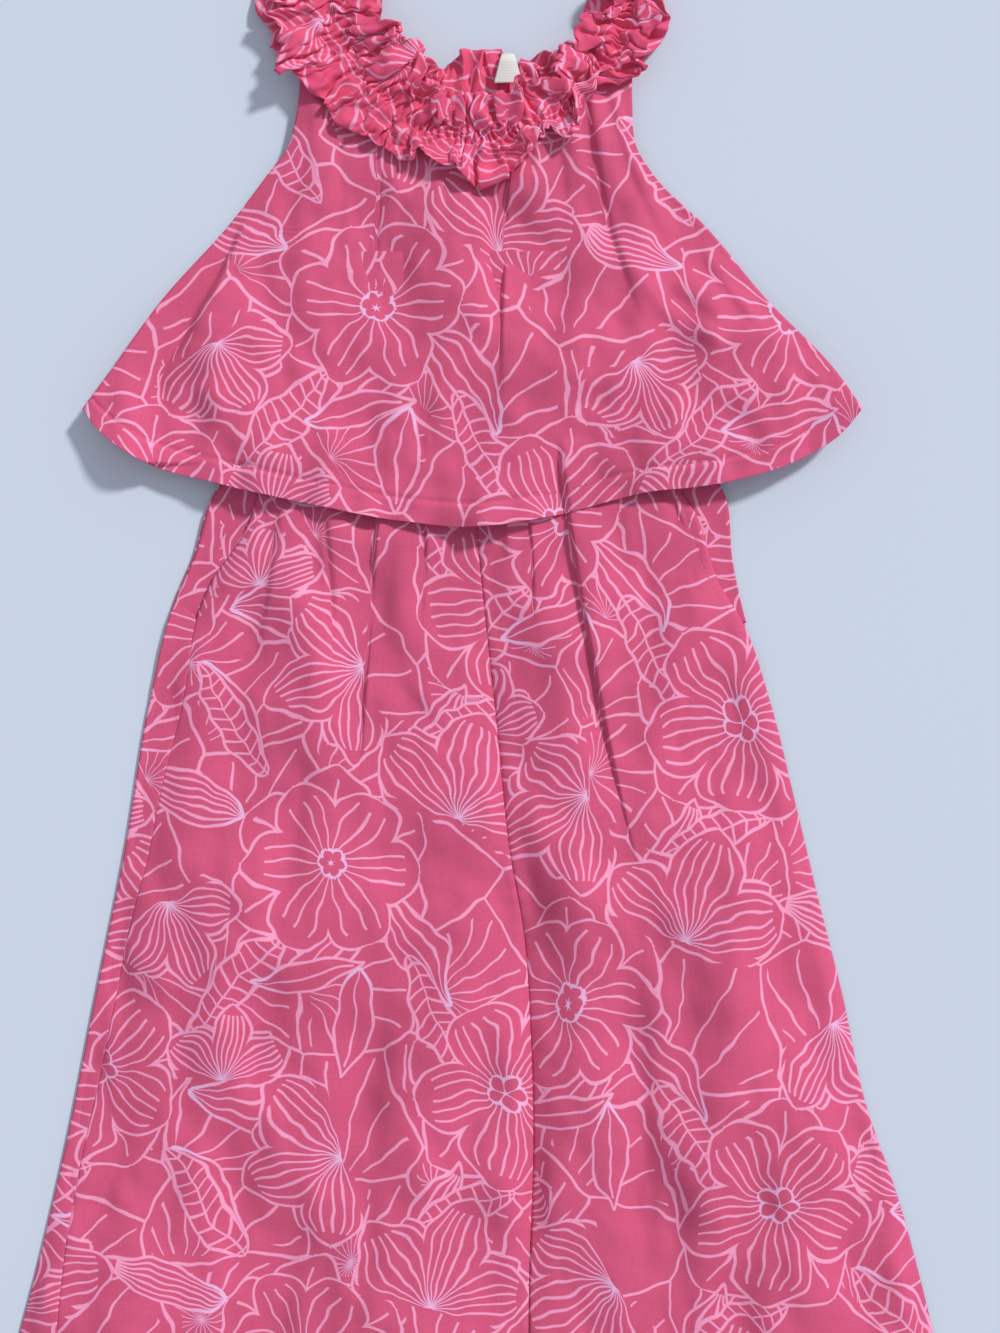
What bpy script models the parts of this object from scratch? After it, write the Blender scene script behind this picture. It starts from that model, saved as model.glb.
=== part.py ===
"""Toddler's popover jumpsuit, laid flat with its front up.

Metres, +Z up.  The garment lies on z = 0 with its neck towards +Y; the origin is under the middle of its
outline.  Left and right are as seen from the front.  Each sewn piece is one closed wall of cloth: a smooth
middle surface, worked out from its outline and its height over the table, that a Solidify modifier thickens.
"""
from collections import namedtuple
from functools import lru_cache
from math import cos, exp, pi, sin

import bmesh
import bpy
import numpy as np
from mathutils import Vector

# ---------------------------------------------------------------- driving sizes
CLOTH = 0.0010          # wall of every piece
GAP = 0.0003            # clearance between pieces at seams and between layers
LAYER = CLOTH + GAP     # one layer to the next, middle to middle
FLOOR = CLOTH / 2       # middle of a layer that lies on the table

WAIST_Y = 0.122         # seam between under-bodice and trousers
CROTCH_Y = -0.080       # where the two legs part
HEM_Y = -0.370          # trouser hem
SHOULDER_Y = 0.3665     # fold of the neck ruffle at the shoulders

LEG_LOFT = 0.0030       # air between a trouser front and back
LEG_PARTING = 0.0006    # how far the right leg lies from the left at the hem
POPOVER_LOFT = 0.0042   # how far the popover front stands over its back at the chest
HEM_LOFT = 0.0092       # and at its hem
CORNER_LIFT = 0.0056    # how far the popover's hem corners curl up from the table
NECK_LIFT = 0.0038      # the popover back's rise over the lower frill of the back ruffle
HEADING_LOFT = 0.0080   # how far the front ruffle's two frills stand above its shirring
FRILL_WAVE = 0.0040     # half height of the front ruffle's folds at its edges
BACK_WAVE = 0.0012      # half height of the back ruffle's folds
FRONT_FRILLS = 25       # folds along the front ruffle
BACK_FRILLS = 17        # folds along the back ruffle

CORAL = (0.78, 0.13, 0.22, 1.0)
IVORY = (0.86, 0.83, 0.76, 1.0)

# ---------------------------------------------------------------- outlines
Point = namedtuple("Point", "x y")
Fold = namedtuple("Fold", "x_top y_top x_low y_low height width")
Station = namedtuple("Station", "x y to_neck to_edge")


def line(*rows):
    return [Point(*row) for row in rows]


POPOVER_NECK = line(
    (-0.0860, 0.3120), (-0.0620, 0.3150), (-0.0490, 0.2985), (-0.0340, 0.2845), (-0.0165, 0.2760),
    (0.0035, 0.2745), (0.0235, 0.2785), (0.0435, 0.2870), (0.0595, 0.3005), (0.0700, 0.3165), (0.0795, 0.3120))
POPOVER_HEM = line(
    (-0.1940, 0.1420), (-0.1865, 0.1325), (-0.1665, 0.1175), (-0.1265, 0.1050), (-0.0865, 0.0960),
    (-0.0365, 0.0865), (0.0035, 0.0835), (0.0435, 0.0900), (0.0835, 0.1000), (0.1235, 0.1050),
    (0.1635, 0.1175), (0.1830, 0.1300), (0.1930, 0.1420))
POPOVER_LEFT = line(
    (-0.0860, 0.3120), (-0.0880, 0.2900), (-0.0930, 0.2725), (-0.1025, 0.2600), (-0.1225, 0.2350),
    (-0.1550, 0.1975), (-0.1810, 0.1600), (-0.1940, 0.1420))
POPOVER_RIGHT = line(
    (0.0795, 0.3120), (0.0795, 0.2950), (0.0820, 0.2725), (0.0900, 0.2600), (0.1160, 0.2350),
    (0.1460, 0.1975), (0.1805, 0.1600), (0.1930, 0.1420))
BACK_NECK = line(
    (-0.0840, 0.3120), (-0.0640, 0.3160), (-0.0440, 0.3040), (-0.0200, 0.2960), (0.0035, 0.2945),
    (0.0270, 0.2965), (0.0500, 0.3055), (0.0690, 0.3170), (0.0775, 0.3120))

LEG_LEFT_EDGE = line(
    (-0.1120, WAIST_Y), (-0.1300, 0.1000), (-0.1400, 0.0700), (-0.1495, 0.0475), (-0.1620, -0.0025),
    (-0.1745, -0.0775), (-0.1895, -0.1525), (-0.2045, -0.2275), (-0.2165, -0.2795), (-0.2410, HEM_Y))
LEG_LEFT_SEAM = line(
    (-0.1020, WAIST_Y), (-0.1090, 0.0950), (-0.1140, 0.0820), (-0.1310, 0.0565), (-0.1380, 0.0400),
    (-0.1435, 0.0060), (-0.1560, -0.0460), (-0.1640, -0.0850), (-0.1730, -0.1200), (-0.1845, -0.1795),
    (-0.1980, -0.2400), (-0.2055, -0.2900), (-0.2100, HEM_Y))
LEG_RIGHT_EDGE = line(
    (0.1120, WAIST_Y), (0.1260, 0.1000), (0.1300, 0.0675), (0.1340, 0.0475), (0.1485, -0.0025),
    (0.1610, -0.0525), (0.1730, -0.1025), (0.1855, -0.1525), (0.1960, -0.2025), (0.2130, -0.2525),
    (0.2265, -0.3025), (0.2410, HEM_Y))
LEG_RIGHT_SEAM = line(
    (0.0960, WAIST_Y), (0.1035, 0.1030), (0.1115, 0.0900), (0.1165, 0.0755), (0.1235, 0.0550),
    (0.1330, 0.0400), (0.1485, -0.0025), (0.1610, -0.0525), (0.1730, -0.1025), (0.1855, -0.1525),
    (0.1960, -0.2025), (0.2130, -0.2525), (0.2265, -0.3025), (0.2410, HEM_Y))
CENTRE_SEAM = line(
    (0.0005, WAIST_Y), (0.0020, 0.0800), (0.0055, 0.0430), (0.0120, -0.0175), (0.0185, CROTCH_Y),
    (0.0250, -0.1170), (0.0290, -0.1745), (0.0300, -0.2300), (0.0280, -0.2900), (0.0275, HEM_Y))

BODICE_LEFT = line((-0.0820, 0.2220), (-0.0880, 0.2160), (-0.0930, 0.2080), (-0.1080, WAIST_Y + GAP))
BODICE_RIGHT = line((0.0790, 0.2220), (0.0860, 0.2160), (0.0910, 0.2080), (0.1080, WAIST_Y + GAP))

FRONT_RUFFLE = [Station(*row) for row in (
    (-0.0755, SHOULDER_Y, 0.0300, 0.0290),
    (-0.0735, 0.3475, 0.0340, 0.0370),
    (-0.0685, 0.3315, 0.0330, 0.0360),
    (-0.0605, 0.3165, 0.0340, 0.0310),
    (-0.0490, 0.3015, 0.0340, 0.0170),
    (-0.0340, 0.2875, 0.0300, 0.0190),
    (-0.0165, 0.2790, 0.0290, 0.0170),
    (0.0035, 0.2775, 0.0270, 0.0210),
    (0.0235, 0.2815, 0.0270, 0.0170),
    (0.0435, 0.2900, 0.0380, 0.0180),
    (0.0595, 0.3035, 0.0350, 0.0190),
    (0.0695, 0.3200, 0.0240, 0.0200),
    (0.0765, 0.3400, 0.0200, 0.0250),
    (0.0795, SHOULDER_Y, 0.0210, 0.0210))]
BACK_RUFFLE = [Station(*row) for row in (
    (-0.0755, SHOULDER_Y, 0.0270, 0.0260),
    (-0.0730, 0.3470, 0.0300, 0.0330),
    (-0.0660, 0.3300, 0.0270, 0.0300),
    (-0.0560, 0.3160, 0.0230, 0.0240),
    (-0.0390, 0.3040, 0.0200, 0.0180),
    (-0.0180, 0.2980, 0.0200, 0.0170),
    (0.0035, 0.2965, 0.0290, 0.0170),
    (0.0250, 0.2985, 0.0230, 0.0170),
    (0.0460, 0.3060, 0.0220, 0.0180),
    (0.0620, 0.3170, 0.0200, 0.0190),
    (0.0720, 0.3310, 0.0180, 0.0200),
    (0.0770, 0.3480, 0.0180, 0.0220),
    (0.0795, SHOULDER_Y, 0.0180, 0.0190))]

POPOVER_FOLDS = [Fold(*row) for row in (
    (-0.1160, 0.2320, -0.1560, 0.1560, 0.0024, 0.0070),
    (-0.0480, 0.2900, -0.0560, 0.1850, 0.0018, 0.0080),
    (0.0020, 0.2660, 0.0050, 0.2000, 0.0016, 0.0060),
    (0.0220, 0.2700, 0.0190, 0.1300, 0.0022, 0.0080),
    (0.0640, 0.2850, 0.0900, 0.2100, 0.0018, 0.0080),
    (0.1150, 0.2250, 0.1560, 0.1500, 0.0015, 0.0100))]
LEG_FOLDS = [Fold(*row) for row in (
    (-0.0480, 0.0880, -0.0560, -0.0350, 0.0022, 0.0085),
    (-0.0740, 0.1000, -0.0780, 0.0300, 0.0010, 0.0080),
    (-0.0250, 0.0900, -0.0300, 0.0200, 0.0010, 0.0080),
    (0.0480, 0.0900, 0.0760, -0.0400, 0.0024, 0.0085),
    (0.0270, 0.0880, 0.0310, 0.0200, 0.0012, 0.0080),
    (0.0850, 0.0900, 0.0930, 0.0300, 0.0010, 0.0080),
    (-0.1000, -0.1600, -0.1200, -0.3400, 0.0012, 0.0180),
    (0.1150, -0.1400, 0.1350, -0.3400, 0.0012, 0.0180))]

LABEL_WIDTH = 0.0140
LABEL_LENGTH = 0.0155
LABEL_AT = Point(0.0175, 0.3120)    # its middle, at the back neck


# ---------------------------------------------------------------- shapes from the outlines
def smooth(value):
    """A ramp from 0 to 1 with level ends."""
    t = min(max(value, 0.0), 1.0)
    return t * t * (3.0 - 2.0 * t)


def curve(rows):
    """A smooth line through the rows of a table, from 0 at its first row to 1 at its last."""
    knots = np.array(rows, dtype=float)
    steps = np.linalg.norm(np.diff(knots[:, :2], axis=0), axis=1)
    at = np.concatenate(([0.0], np.cumsum(steps))) / steps.sum()
    slopes = np.gradient(knots, at, axis=0)

    def place(t):
        i = int(np.clip(np.searchsorted(at, t) - 1, 0, len(at) - 2))
        span = at[i + 1] - at[i]
        s = (t - at[i]) / span
        start = (2 * s**3 - 3 * s**2 + 1) * knots[i] + (s**3 - 2 * s**2 + s) * span * slopes[i]
        end = (3 * s**2 - 2 * s**3) * knots[i + 1] + (s**3 - s**2) * span * slopes[i + 1]
        return start + end

    return place


@lru_cache(maxsize=None)
def dense(rows):
    """Many points along the smooth line through the rows."""
    place = curve(rows)
    return np.array([place(t) for t in np.linspace(0.0, 1.0, 241)])


def moved(rows, x=0.0, y=0.0):
    return [Point(row.x + x, row.y + y) for row in rows]


def patch(top, low, left, right):
    """The flat sheet between four edges that share their corners: u runs left to right, v top to low."""
    top, low, left, right = curve(top), curve(low), curve(left), curve(right)
    corners = (top(0.0), top(1.0), low(0.0), low(1.0))

    def place(u, v):
        across = (1 - v) * top(u) + v * low(u)
        down = (1 - u) * left(v) + u * right(v)
        twist = ((1 - u) * (1 - v) * corners[0] + u * (1 - v) * corners[1]
                 + (1 - u) * v * corners[2] + u * v * corners[3])
        return across + down - twist

    return place


def level(left, right, y):
    """A straight edge at one y, between the x of two sides there."""
    return line((left, y), ((left + right) / 2, y), (right, y))


def folds(table, x, y):
    """The height that the folds of a table add at x, y: soft ridges that fade at both ends."""
    height = 0.0
    for fold in table:
        run = Vector((fold.x_low - fold.x_top, fold.y_low - fold.y_top))
        step = Vector((x - fold.x_top, y - fold.y_top))
        along = step.dot(run) / run.length_squared
        if 0.0 < along < 1.0:
            off = (step - run * along).length / fold.width
            height += fold.height * exp(-off * off) * sin(pi * along ** 0.6) ** 0.8
    return height


def y_on(rows, x):
    """The y of an outline that runs left to right, at x."""
    points = dense(tuple(rows))
    return float(np.interp(x, points[:, 0], points[:, 1]))


def x_on(rows, y):
    """The x of an outline that runs down, at y."""
    points = dense(tuple(rows))
    return float(np.interp(-y, -points[:, 1], points[:, 0]))


# ---------------------------------------------------------------- heights of the layers over the table
def corner_lift(x, y):
    """The popover's side edges curl up from the table, most at the corners of the hem."""
    edge = x_on(POPOVER_RIGHT, y) if x > 0 else -x_on(POPOVER_LEFT, y)
    near_edge = smooth(1.0 - (edge - abs(x)) / 0.034)
    down = smooth((0.250 - y) / 0.110)
    return CORNER_LIFT * near_edge * down


def neck_lift(y):
    return NECK_LIFT * smooth((y - 0.230) / 0.040)


def popover_back_z(x, y):
    return FLOOR + corner_lift(x, y) + neck_lift(y)


def over_popover_hem(x, y):
    """1 where the trousers lie on the popover back, 0 below its hem."""
    return smooth((y - y_on(POPOVER_HEM, x) + 0.045) / 0.037)


def leg_back_z(x, y):
    return FLOOR + LAYER * over_popover_hem(x, y)


def at_pocket(x, y):
    """1 near the slanted pocket mouths, where the side pieces lie between back and front."""
    mouth = x_on(LEG_RIGHT_SEAM, y) if x > 0 else -x_on(LEG_LEFT_SEAM, y)
    near = smooth(1.0 - (mouth - abs(x) - 0.012) / 0.022)
    return near * smooth((y + 0.010) / 0.035)


def leg_front_z(x, y, u):
    loft = LEG_LOFT * max(sin(pi * min(max(u, 0.0), 1.0)), 0.0) ** 0.7
    return leg_back_z(x, y) + LAYER * (1 + at_pocket(x, y)) + loft + folds(LEG_FOLDS, x, y)


def popover_front_z(x, y, u):
    side = smooth(min(u, 1 - u) / 0.16)
    loft = POPOVER_LOFT + (HEM_LOFT - POPOVER_LOFT) * smooth((0.230 - y) / 0.120)
    return popover_back_z(x, y) + LAYER + loft * side * (1 - 0.86 * smooth((y - 0.245) / 0.030)) \
        + folds(POPOVER_FOLDS, x, y)


# ---------------------------------------------------------------- making a piece
def cloth(name, form, columns, rows, color=CORAL):
    """A closed wall of cloth whose middle surface is form(u, v), with u and v from 0 to 1."""
    bm = bmesh.new()
    bmesh.ops.create_grid(bm, x_segments=columns, y_segments=rows, size=0.5)
    for vert in bm.verts:
        vert.co = form(vert.co.x + 0.5, 0.5 - vert.co.y)
    mesh = bpy.data.meshes.new(name)
    bm.to_mesh(mesh)
    bm.free()
    mesh.shade_smooth()
    piece = bpy.data.objects.new(name, mesh)
    bpy.context.scene.collection.objects.link(piece)
    piece.parent = garment
    wall = piece.modifiers.new("wall", "SOLIDIFY")
    wall.thickness = CLOTH
    wall.offset = 0.0
    finish = bpy.data.materials.new(name)
    finish.use_nodes = True
    shader = finish.node_tree.nodes["Principled BSDF"]
    shader.inputs["Base Color"].default_value = color
    shader.inputs["Roughness"].default_value = 0.85
    shader.inputs["Metallic"].default_value = 0.0
    mesh.materials.append(finish)
    return piece


def popover():
    """The loose A-line overlay, front and back, sewn at the sides and into the neck ruffle."""
    rows = 12
    front = patch(POPOVER_NECK, POPOVER_HEM, POPOVER_LEFT, POPOVER_RIGHT)

    def front_form(u, v):
        x, y = front(u, v)
        return x, y, popover_front_z(x, y, u)

    cloth("popover_front", front_form, 28, rows)

    inset = 0.0020
    hem = [Point(row.x * (1 - inset / 0.19), row.y + 2 * inset) for row in POPOVER_HEM]
    left = [Point(row.x + inset, row.y) for row in POPOVER_LEFT[:-1]] + [hem[0]]
    right = [Point(row.x - inset, row.y) for row in POPOVER_RIGHT[:-1]] + [hem[-1]]
    back = patch(BACK_NECK, hem, left, right)

    def back_form(u, v):
        x, y = back(u, v)
        return x, y, popover_back_z(x, y)

    cloth("popover_back", back_form, 14, rows)


def bodice():
    """The plain under-bodice that the trousers hang from, wholly under the popover."""
    sheet = patch(level(BODICE_LEFT[0].x, BODICE_RIGHT[0].x, BODICE_LEFT[0].y),
                  level(BODICE_LEFT[-1].x, BODICE_RIGHT[-1].x, WAIST_Y + GAP), BODICE_LEFT, BODICE_RIGHT)

    def back_form(u, v):
        x, y = sheet(u, v)
        return x, y, FLOOR + LAYER

    def front_form(u, v):
        x, y = sheet(u, v)
        return x, y, FLOOR + 2 * LAYER

    cloth("bodice_back", back_form, 4, 4)
    cloth("bodice_front", front_form, 4, 4)


def trousers():
    """Each leg has a front, a back, and a side piece behind its slanted pocket mouth."""
    seam = GAP * 0.6                                    # half the clearance at the centre seam
    rows = 16
    close = 1.6                                         # rows lie closer towards the waist
    inner_left = moved(CENTRE_SEAM, -seam)
    inner_right = [Point(row.x + seam + LEG_PARTING * smooth((CROTCH_Y - row.y) / 0.25), row.y)
                   for row in CENTRE_SEAM]

    def front(name, outer, inner):
        sides = (outer, inner) if outer[0].x < 0 else (inner, outer)
        sheet = patch(level(sides[0][0].x, sides[1][0].x, WAIST_Y),
                      level(sides[0][-1].x, sides[1][-1].x, HEM_Y), *sides)

        def form(u, v):
            x, y = sheet(u, v ** close)
            return x, y, leg_front_z(x, y, u)

        cloth(name, form, 20, rows)

    front("leg_front_left", LEG_LEFT_SEAM, inner_left)
    front("leg_front_right", LEG_RIGHT_SEAM, inner_right)

    # the left back turns round the edge of the leg and meets the front in a seam on top
    turn = LAYER / 2
    outer = moved(LEG_LEFT_EDGE, turn)
    sheet = patch(level(outer[0].x, inner_left[0].x, WAIST_Y), level(outer[-1].x, inner_left[-1].x, HEM_Y),
                  outer, inner_left)
    edge = curve(outer)
    wrap_part = 0.20                                    # share of the columns on top, then round the edge
    turn_part = 0.40
    lap = 0.003

    def left_back_form(u, v):
        v = v ** close
        if u >= turn_part:
            x, y = sheet((u - turn_part) / (1 - turn_part), v)
            return x, y, leg_back_z(x, y)
        x, y = edge(v)
        low = leg_back_z(x, y)
        if u >= wrap_part:
            angle = pi * (u - wrap_part) / (turn_part - wrap_part)
            return x - turn * sin(angle), y, low + turn + turn * cos(angle)
        under_pocket = smooth((0.030 - y) / 0.025)      # beside the pocket it ends near the edge of the leg
        top_seam = x_on(LEG_LEFT_SEAM, y) - 2 * seam
        reach = x + lap + (top_seam - x - lap) * under_pocket
        return reach + (x - reach) * u / wrap_part, y, low + 2 * turn

    cloth("leg_back_left", left_back_form, 20, rows)

    outer = moved(LEG_RIGHT_EDGE, -0.0008)
    sheet_right = patch(level(inner_right[0].x, outer[0].x, WAIST_Y),
                        level(inner_right[-1].x, outer[-1].x, HEM_Y), inner_right, outer)

    def right_back_form(u, v):
        x, y = sheet_right(u, v ** close)
        return x, y, leg_back_z(x, y)

    cloth("leg_back_right", right_back_form, 10, rows)

    # side pieces: from the waist to the low end of the mouth, tucked a little way under the front
    tuck = 0.007
    low_y = 0.036
    for name, edge_rows, mouth_rows, clear in (("hip_left", LEG_LEFT_EDGE, LEG_LEFT_SEAM, 0.0050),
                                               ("hip_right", LEG_RIGHT_EDGE, LEG_RIGHT_SEAM, 0.0)):
        side = -1 if name == "hip_left" else 1

        def hip_form(u, v):
            y = WAIST_Y + (low_y - WAIST_Y) * v
            edge_x = x_on(edge_rows, y) - side * clear
            mouth_x = x_on(mouth_rows, y) - side * tuck
            x = edge_x + (mouth_x - edge_x) * u
            return x, y, leg_back_z(x, y) + LAYER

        cloth(name, hip_form, 3, 8)


def ruffle(table, folds_along, wave, base, loft, drop):
    """A strip of cloth gathered on a line of shirring, with a frill on both sides; its ends come down by drop."""
    spine = curve(table)

    def form(s, w):
        x, y, to_neck, to_edge = spine(s)
        ahead = spine(min(s + 0.004, 1.0)) - spine(max(s - 0.004, 0.0))
        run = Vector((ahead[0], ahead[1])).normalized()
        across = Vector((run.y, -run.x))                # from the shirring towards the outer edge
        side = 2.0 * w - 1.0                            # -1 at the neck edge, 0 on the shirring, 1 outside
        reach = side * to_edge if side > 0 else side * to_neck
        phase = folds_along * s
        swing = sin(2 * pi * phase + 0.9 * sin(2 * pi * phase / 5.3) + (0.7 if side < 0 else 0.0))
        scallop = 1.0 + 0.07 * sin(2 * pi * phase + 1.2)
        full = abs(side) ** 0.8
        end = smooth(s / 0.06) * smooth((1 - s) / 0.06)
        height = base - drop * (1 - end) + (loft + wave * swing) * full * (0.35 + 0.65 * end)
        return x + across.x * reach * scallop, y + across.y * reach * scallop, height

    return form


def neck():
    """The double ruffle round the neck, its front and back halves, and the blank label inside the back."""
    back = ruffle(BACK_RUFFLE, BACK_FRILLS, BACK_WAVE, FLOOR, BACK_WAVE, 0.0)
    cloth("ruffle_back", back, 3 * BACK_FRILLS, 4)
    base = FLOOR + NECK_LIFT + 2 * LAYER + 0.0009
    front = ruffle(FRONT_RUFFLE, FRONT_FRILLS, FRILL_WAVE, base, HEADING_LOFT, 0.0032)
    cloth("ruffle_front", front, 4 * FRONT_FRILLS, 4)

    def label_form(u, v):
        x = LABEL_AT.x + LABEL_WIDTH * (u - 0.5)
        y = LABEL_AT.y + LABEL_LENGTH * (0.5 - v)
        return x, y, FLOOR + 2 * BACK_WAVE + LAYER

    cloth("label", label_form, 1, 1, IVORY)


# ---------------------------------------------------------------- the garment
for old in list(bpy.data.objects):
    bpy.data.objects.remove(old, do_unlink=True)

garment = bpy.data.objects.new("garment", None)
bpy.context.scene.collection.objects.link(garment)

popover()
bodice()
trousers()
neck()
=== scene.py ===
"""Toddler's popover jumpsuit in printed cotton, laid flat, front up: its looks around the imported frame.

Metres, +Z up, in the frame's own axes: the neck is towards +Y, and left and right are as seen from the front.
"""
from collections import namedtuple
from functools import partialmethod
from math import cos, pi, radians, sin

import bmesh
import bpy
import numpy as np
from mathutils import Matrix, Vector, noise


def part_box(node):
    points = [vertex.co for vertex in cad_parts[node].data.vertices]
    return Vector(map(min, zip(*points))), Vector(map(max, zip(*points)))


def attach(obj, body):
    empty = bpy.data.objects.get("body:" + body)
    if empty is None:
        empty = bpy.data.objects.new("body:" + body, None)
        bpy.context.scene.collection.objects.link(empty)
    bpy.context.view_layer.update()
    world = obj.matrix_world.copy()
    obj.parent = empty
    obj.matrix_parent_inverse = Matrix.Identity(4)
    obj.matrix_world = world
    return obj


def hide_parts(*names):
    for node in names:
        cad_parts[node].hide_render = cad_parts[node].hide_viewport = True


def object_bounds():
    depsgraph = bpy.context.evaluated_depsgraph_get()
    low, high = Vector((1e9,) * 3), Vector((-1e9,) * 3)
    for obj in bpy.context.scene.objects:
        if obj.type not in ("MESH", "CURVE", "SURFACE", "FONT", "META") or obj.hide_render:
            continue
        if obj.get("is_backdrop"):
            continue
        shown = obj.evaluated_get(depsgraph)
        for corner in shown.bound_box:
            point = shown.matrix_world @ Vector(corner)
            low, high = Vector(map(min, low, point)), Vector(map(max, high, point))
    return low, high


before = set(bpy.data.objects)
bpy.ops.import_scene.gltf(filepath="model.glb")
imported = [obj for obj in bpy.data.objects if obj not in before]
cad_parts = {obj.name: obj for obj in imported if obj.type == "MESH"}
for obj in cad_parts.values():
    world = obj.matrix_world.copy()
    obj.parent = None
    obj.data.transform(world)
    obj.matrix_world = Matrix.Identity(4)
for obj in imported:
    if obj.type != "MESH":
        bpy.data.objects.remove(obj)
cad_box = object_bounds()

# ---------------------------------------------------------------- the printed cotton
# The whole garment is cut from one light plain-weave cotton, coral with an open line print in pale pink.
# The print is a repeat of full blooms, half-open lilies, leaves and striped fronds on a ground of petals,
# drawn by the nodes below in the flat cloth's own metres, so it breaks at the seams as printed cloth does.
REPEAT = (0.226, 0.258, 1.0)            # the print's repeat as drawn, across and along the cloth
SHRINK = 1.06                           # it is drawn this much larger than it is printed
LINE = 0.00148 * SHRINK                 # printed line, full width
SOFT = 0.0003                           # half of its soft edge
CORAL = (0.665, 0.094, 0.211, 1.0)
PALE_PINK = (0.925, 0.350, 0.565, 1.0)
LILAC = (0.830, 0.500, 0.790, 1.0)      # where printed lines run together


def add(tree, kind, inputs=(), **settings):
    """A shader node with these settings; inputs gives its sockets a value or a link, by name or place."""
    node = tree.nodes.new("ShaderNode" + kind)
    for name, value in settings.items():
        setattr(node, name, value)
    for name, value in dict(inputs).items():
        if isinstance(value, Field):
            value = value.socket
        if isinstance(value, bpy.types.NodeSocket):
            tree.links.new(value, node.inputs[name])
        else:
            node.inputs[name].default_value = value
    return node


class Field:
    """What a material works out at every point of a surface; sums on it add Math nodes."""

    def __init__(self, tree, socket):
        self.tree = tree
        self.socket = socket

    def math(self, operation, *others):
        step = add(self.tree, "Math", enumerate((self, *others)), operation=operation)
        return Field(self.tree, step.outputs[0])

    __add__ = partialmethod(math, "ADD")
    __sub__ = partialmethod(math, "SUBTRACT")
    __mul__ = partialmethod(math, "MULTIPLY")
    __truediv__ = partialmethod(math, "DIVIDE")
    __pow__ = partialmethod(math, "POWER")

    def clamped(self):
        """The same number, kept from 0 to 1."""
        self.socket.node.use_clamp = True
        return self

    def ramp(self, start, stop, low=0.0, high=1.0):
        """From low at start to high at stop, with level ends."""
        step = add(self.tree, "MapRange", {"Value": self, "From Min": start, "From Max": stop,
                                           "To Min": low, "To Max": high}, interpolation_type="SMOOTHSTEP")
        return Field(self.tree, step.outputs["Result"])

    def inked(self, half=0.5):
        """1 where this distance from a line is within half of the line's width, with its soft edge."""
        return self.ramp(LINE * half - SOFT, LINE * half + SOFT, 1.0, 0.0)

    def feed(self, socket):
        self.tree.links.new(self.socket, socket)


def node_group(name, inputs, outputs, kind="Float"):
    """An empty shader node group, what its inputs bring, and the sockets of its outputs."""
    group = bpy.data.node_groups.new(name, "ShaderNodeTree")
    for label in inputs:
        group.interface.new_socket(label, in_out="INPUT", socket_type="NodeSocket" + kind)
    for label in outputs:
        group.interface.new_socket(label, in_out="OUTPUT", socket_type="NodeSocketFloat")
    way_in = group.nodes.new("NodeGroupInput").outputs
    way_out = group.nodes.new("NodeGroupOutput").inputs
    return group, [Field(group, way_in[label]) for label in inputs], way_out


def use(tree, group, **values):
    """A group placed in a tree; words in a socket's name are joined by _ here."""
    return add(tree, "Group", {label.replace("_", " "): value for label, value in values.items()},
               node_tree=group)


def vector_step(tree, operation, *values):
    return add(tree, "VectorMath", enumerate(values), operation=operation).outputs["Vector"]


def split(tree, vector):
    """The X and the Y of a vector."""
    apart = add(tree, "SeparateXYZ", {"Vector": vector})
    return Field(tree, apart.outputs["X"]), Field(tree, apart.outputs["Y"])


def covered(past, outside):
    """1 within the rim of a motif: past is how far a place lies beyond its ends, outside beyond its sides."""
    return past.math("MULTIPLY_ADD", 1000.0, outside).math("LESS_THAN", 0.0)


# one petal or leaf: a pointed oval from the origin along X, with veins that run from base to tip
DRAWN = ("Line", "Knot", "Cover")       # a motif's lines, where they crowd, and all that it hides
petal, (x, y, length, half_width, swell, roundness, veins, vein_reach), outs = node_group(
    "petal", ("X", "Y", "Length", "Half Width", "Swell", "Round", "Veins", "Vein Reach"), DRAWN)
along = (x / length).clamped()
inside = along * length
bulge = (along ** swell) * pi
half = (bulge.math("SINE") ** roundness) * half_width
slope = half * roundness * swell * bulge / (bulge.math("TANGENT") * inside)
lean = slope.math("MULTIPLY_ADD", slope, 1.0).math("SQRT")
off = y.math("ABSOLUTE")
past = (x - inside).math("ABSOLUTE")
outside = off - half
rim = outside.math("ABSOLUTE") / lean + past
near = outside.math("LESS_THAN", LINE * 1.2)
cover = covered(past, outside)
stroke = rim.inked() * near
rib = (off / half * veins).math("PINGPONG", 0.5) * half / veins
rib = (along - vein_reach).math("MAXIMUM", 0.0).math("MULTIPLY_ADD", 0.15, rib) + veins.math("LESS_THAN", 0.5)
rib = rib + x.ramp(0.003, 0.024, LINE * 0.30, 0.0)
line = stroke.math("MAXIMUM", rib.inked(0.42) * cover)
line.feed(outs["Line"])
(line * x.ramp(0.004, 0.019, 0.9, 0.0)).feed(outs["Knot"])
cover.feed(outs["Cover"])

# petals round a centre: a whole ring of them, or a fan of those within a spread of the X axis
bloom, (x, y, petals, turn, spread, vary, length, half_width, swell, roundness, veins, vein_reach), outs = \
    node_group("bloom", ("X", "Y", "Petals", "Turn", "Spread", "Vary", "Length", "Half Width", "Swell",
                         "Round", "Veins", "Vein Reach"), DRAWN)
reach = x.math("MULTIPLY_ADD", x, y * y).math("SQRT")
share = petals / (2 * pi)
turns = y.math("ARCTAN2", x) * share + turn
whole = turns.math("FLOOR")
local = (turns - whole - 0.5) / share
middle = (whole + 0.5 - turn) / share
shown = (middle.math("ABSOLUTE") - spread).math("LESS_THAN", 0.0)
drawn = use(bloom, petal, X=reach * local.math("COSINE"), Y=reach * local.math("SINE"),
            Length=length * ((middle.math("COSINE") - 1.0) * vary + 1.0), Half_Width=half_width,
            Swell=swell, Round=roundness, Veins=veins, Vein_Reach=vein_reach)
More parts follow.
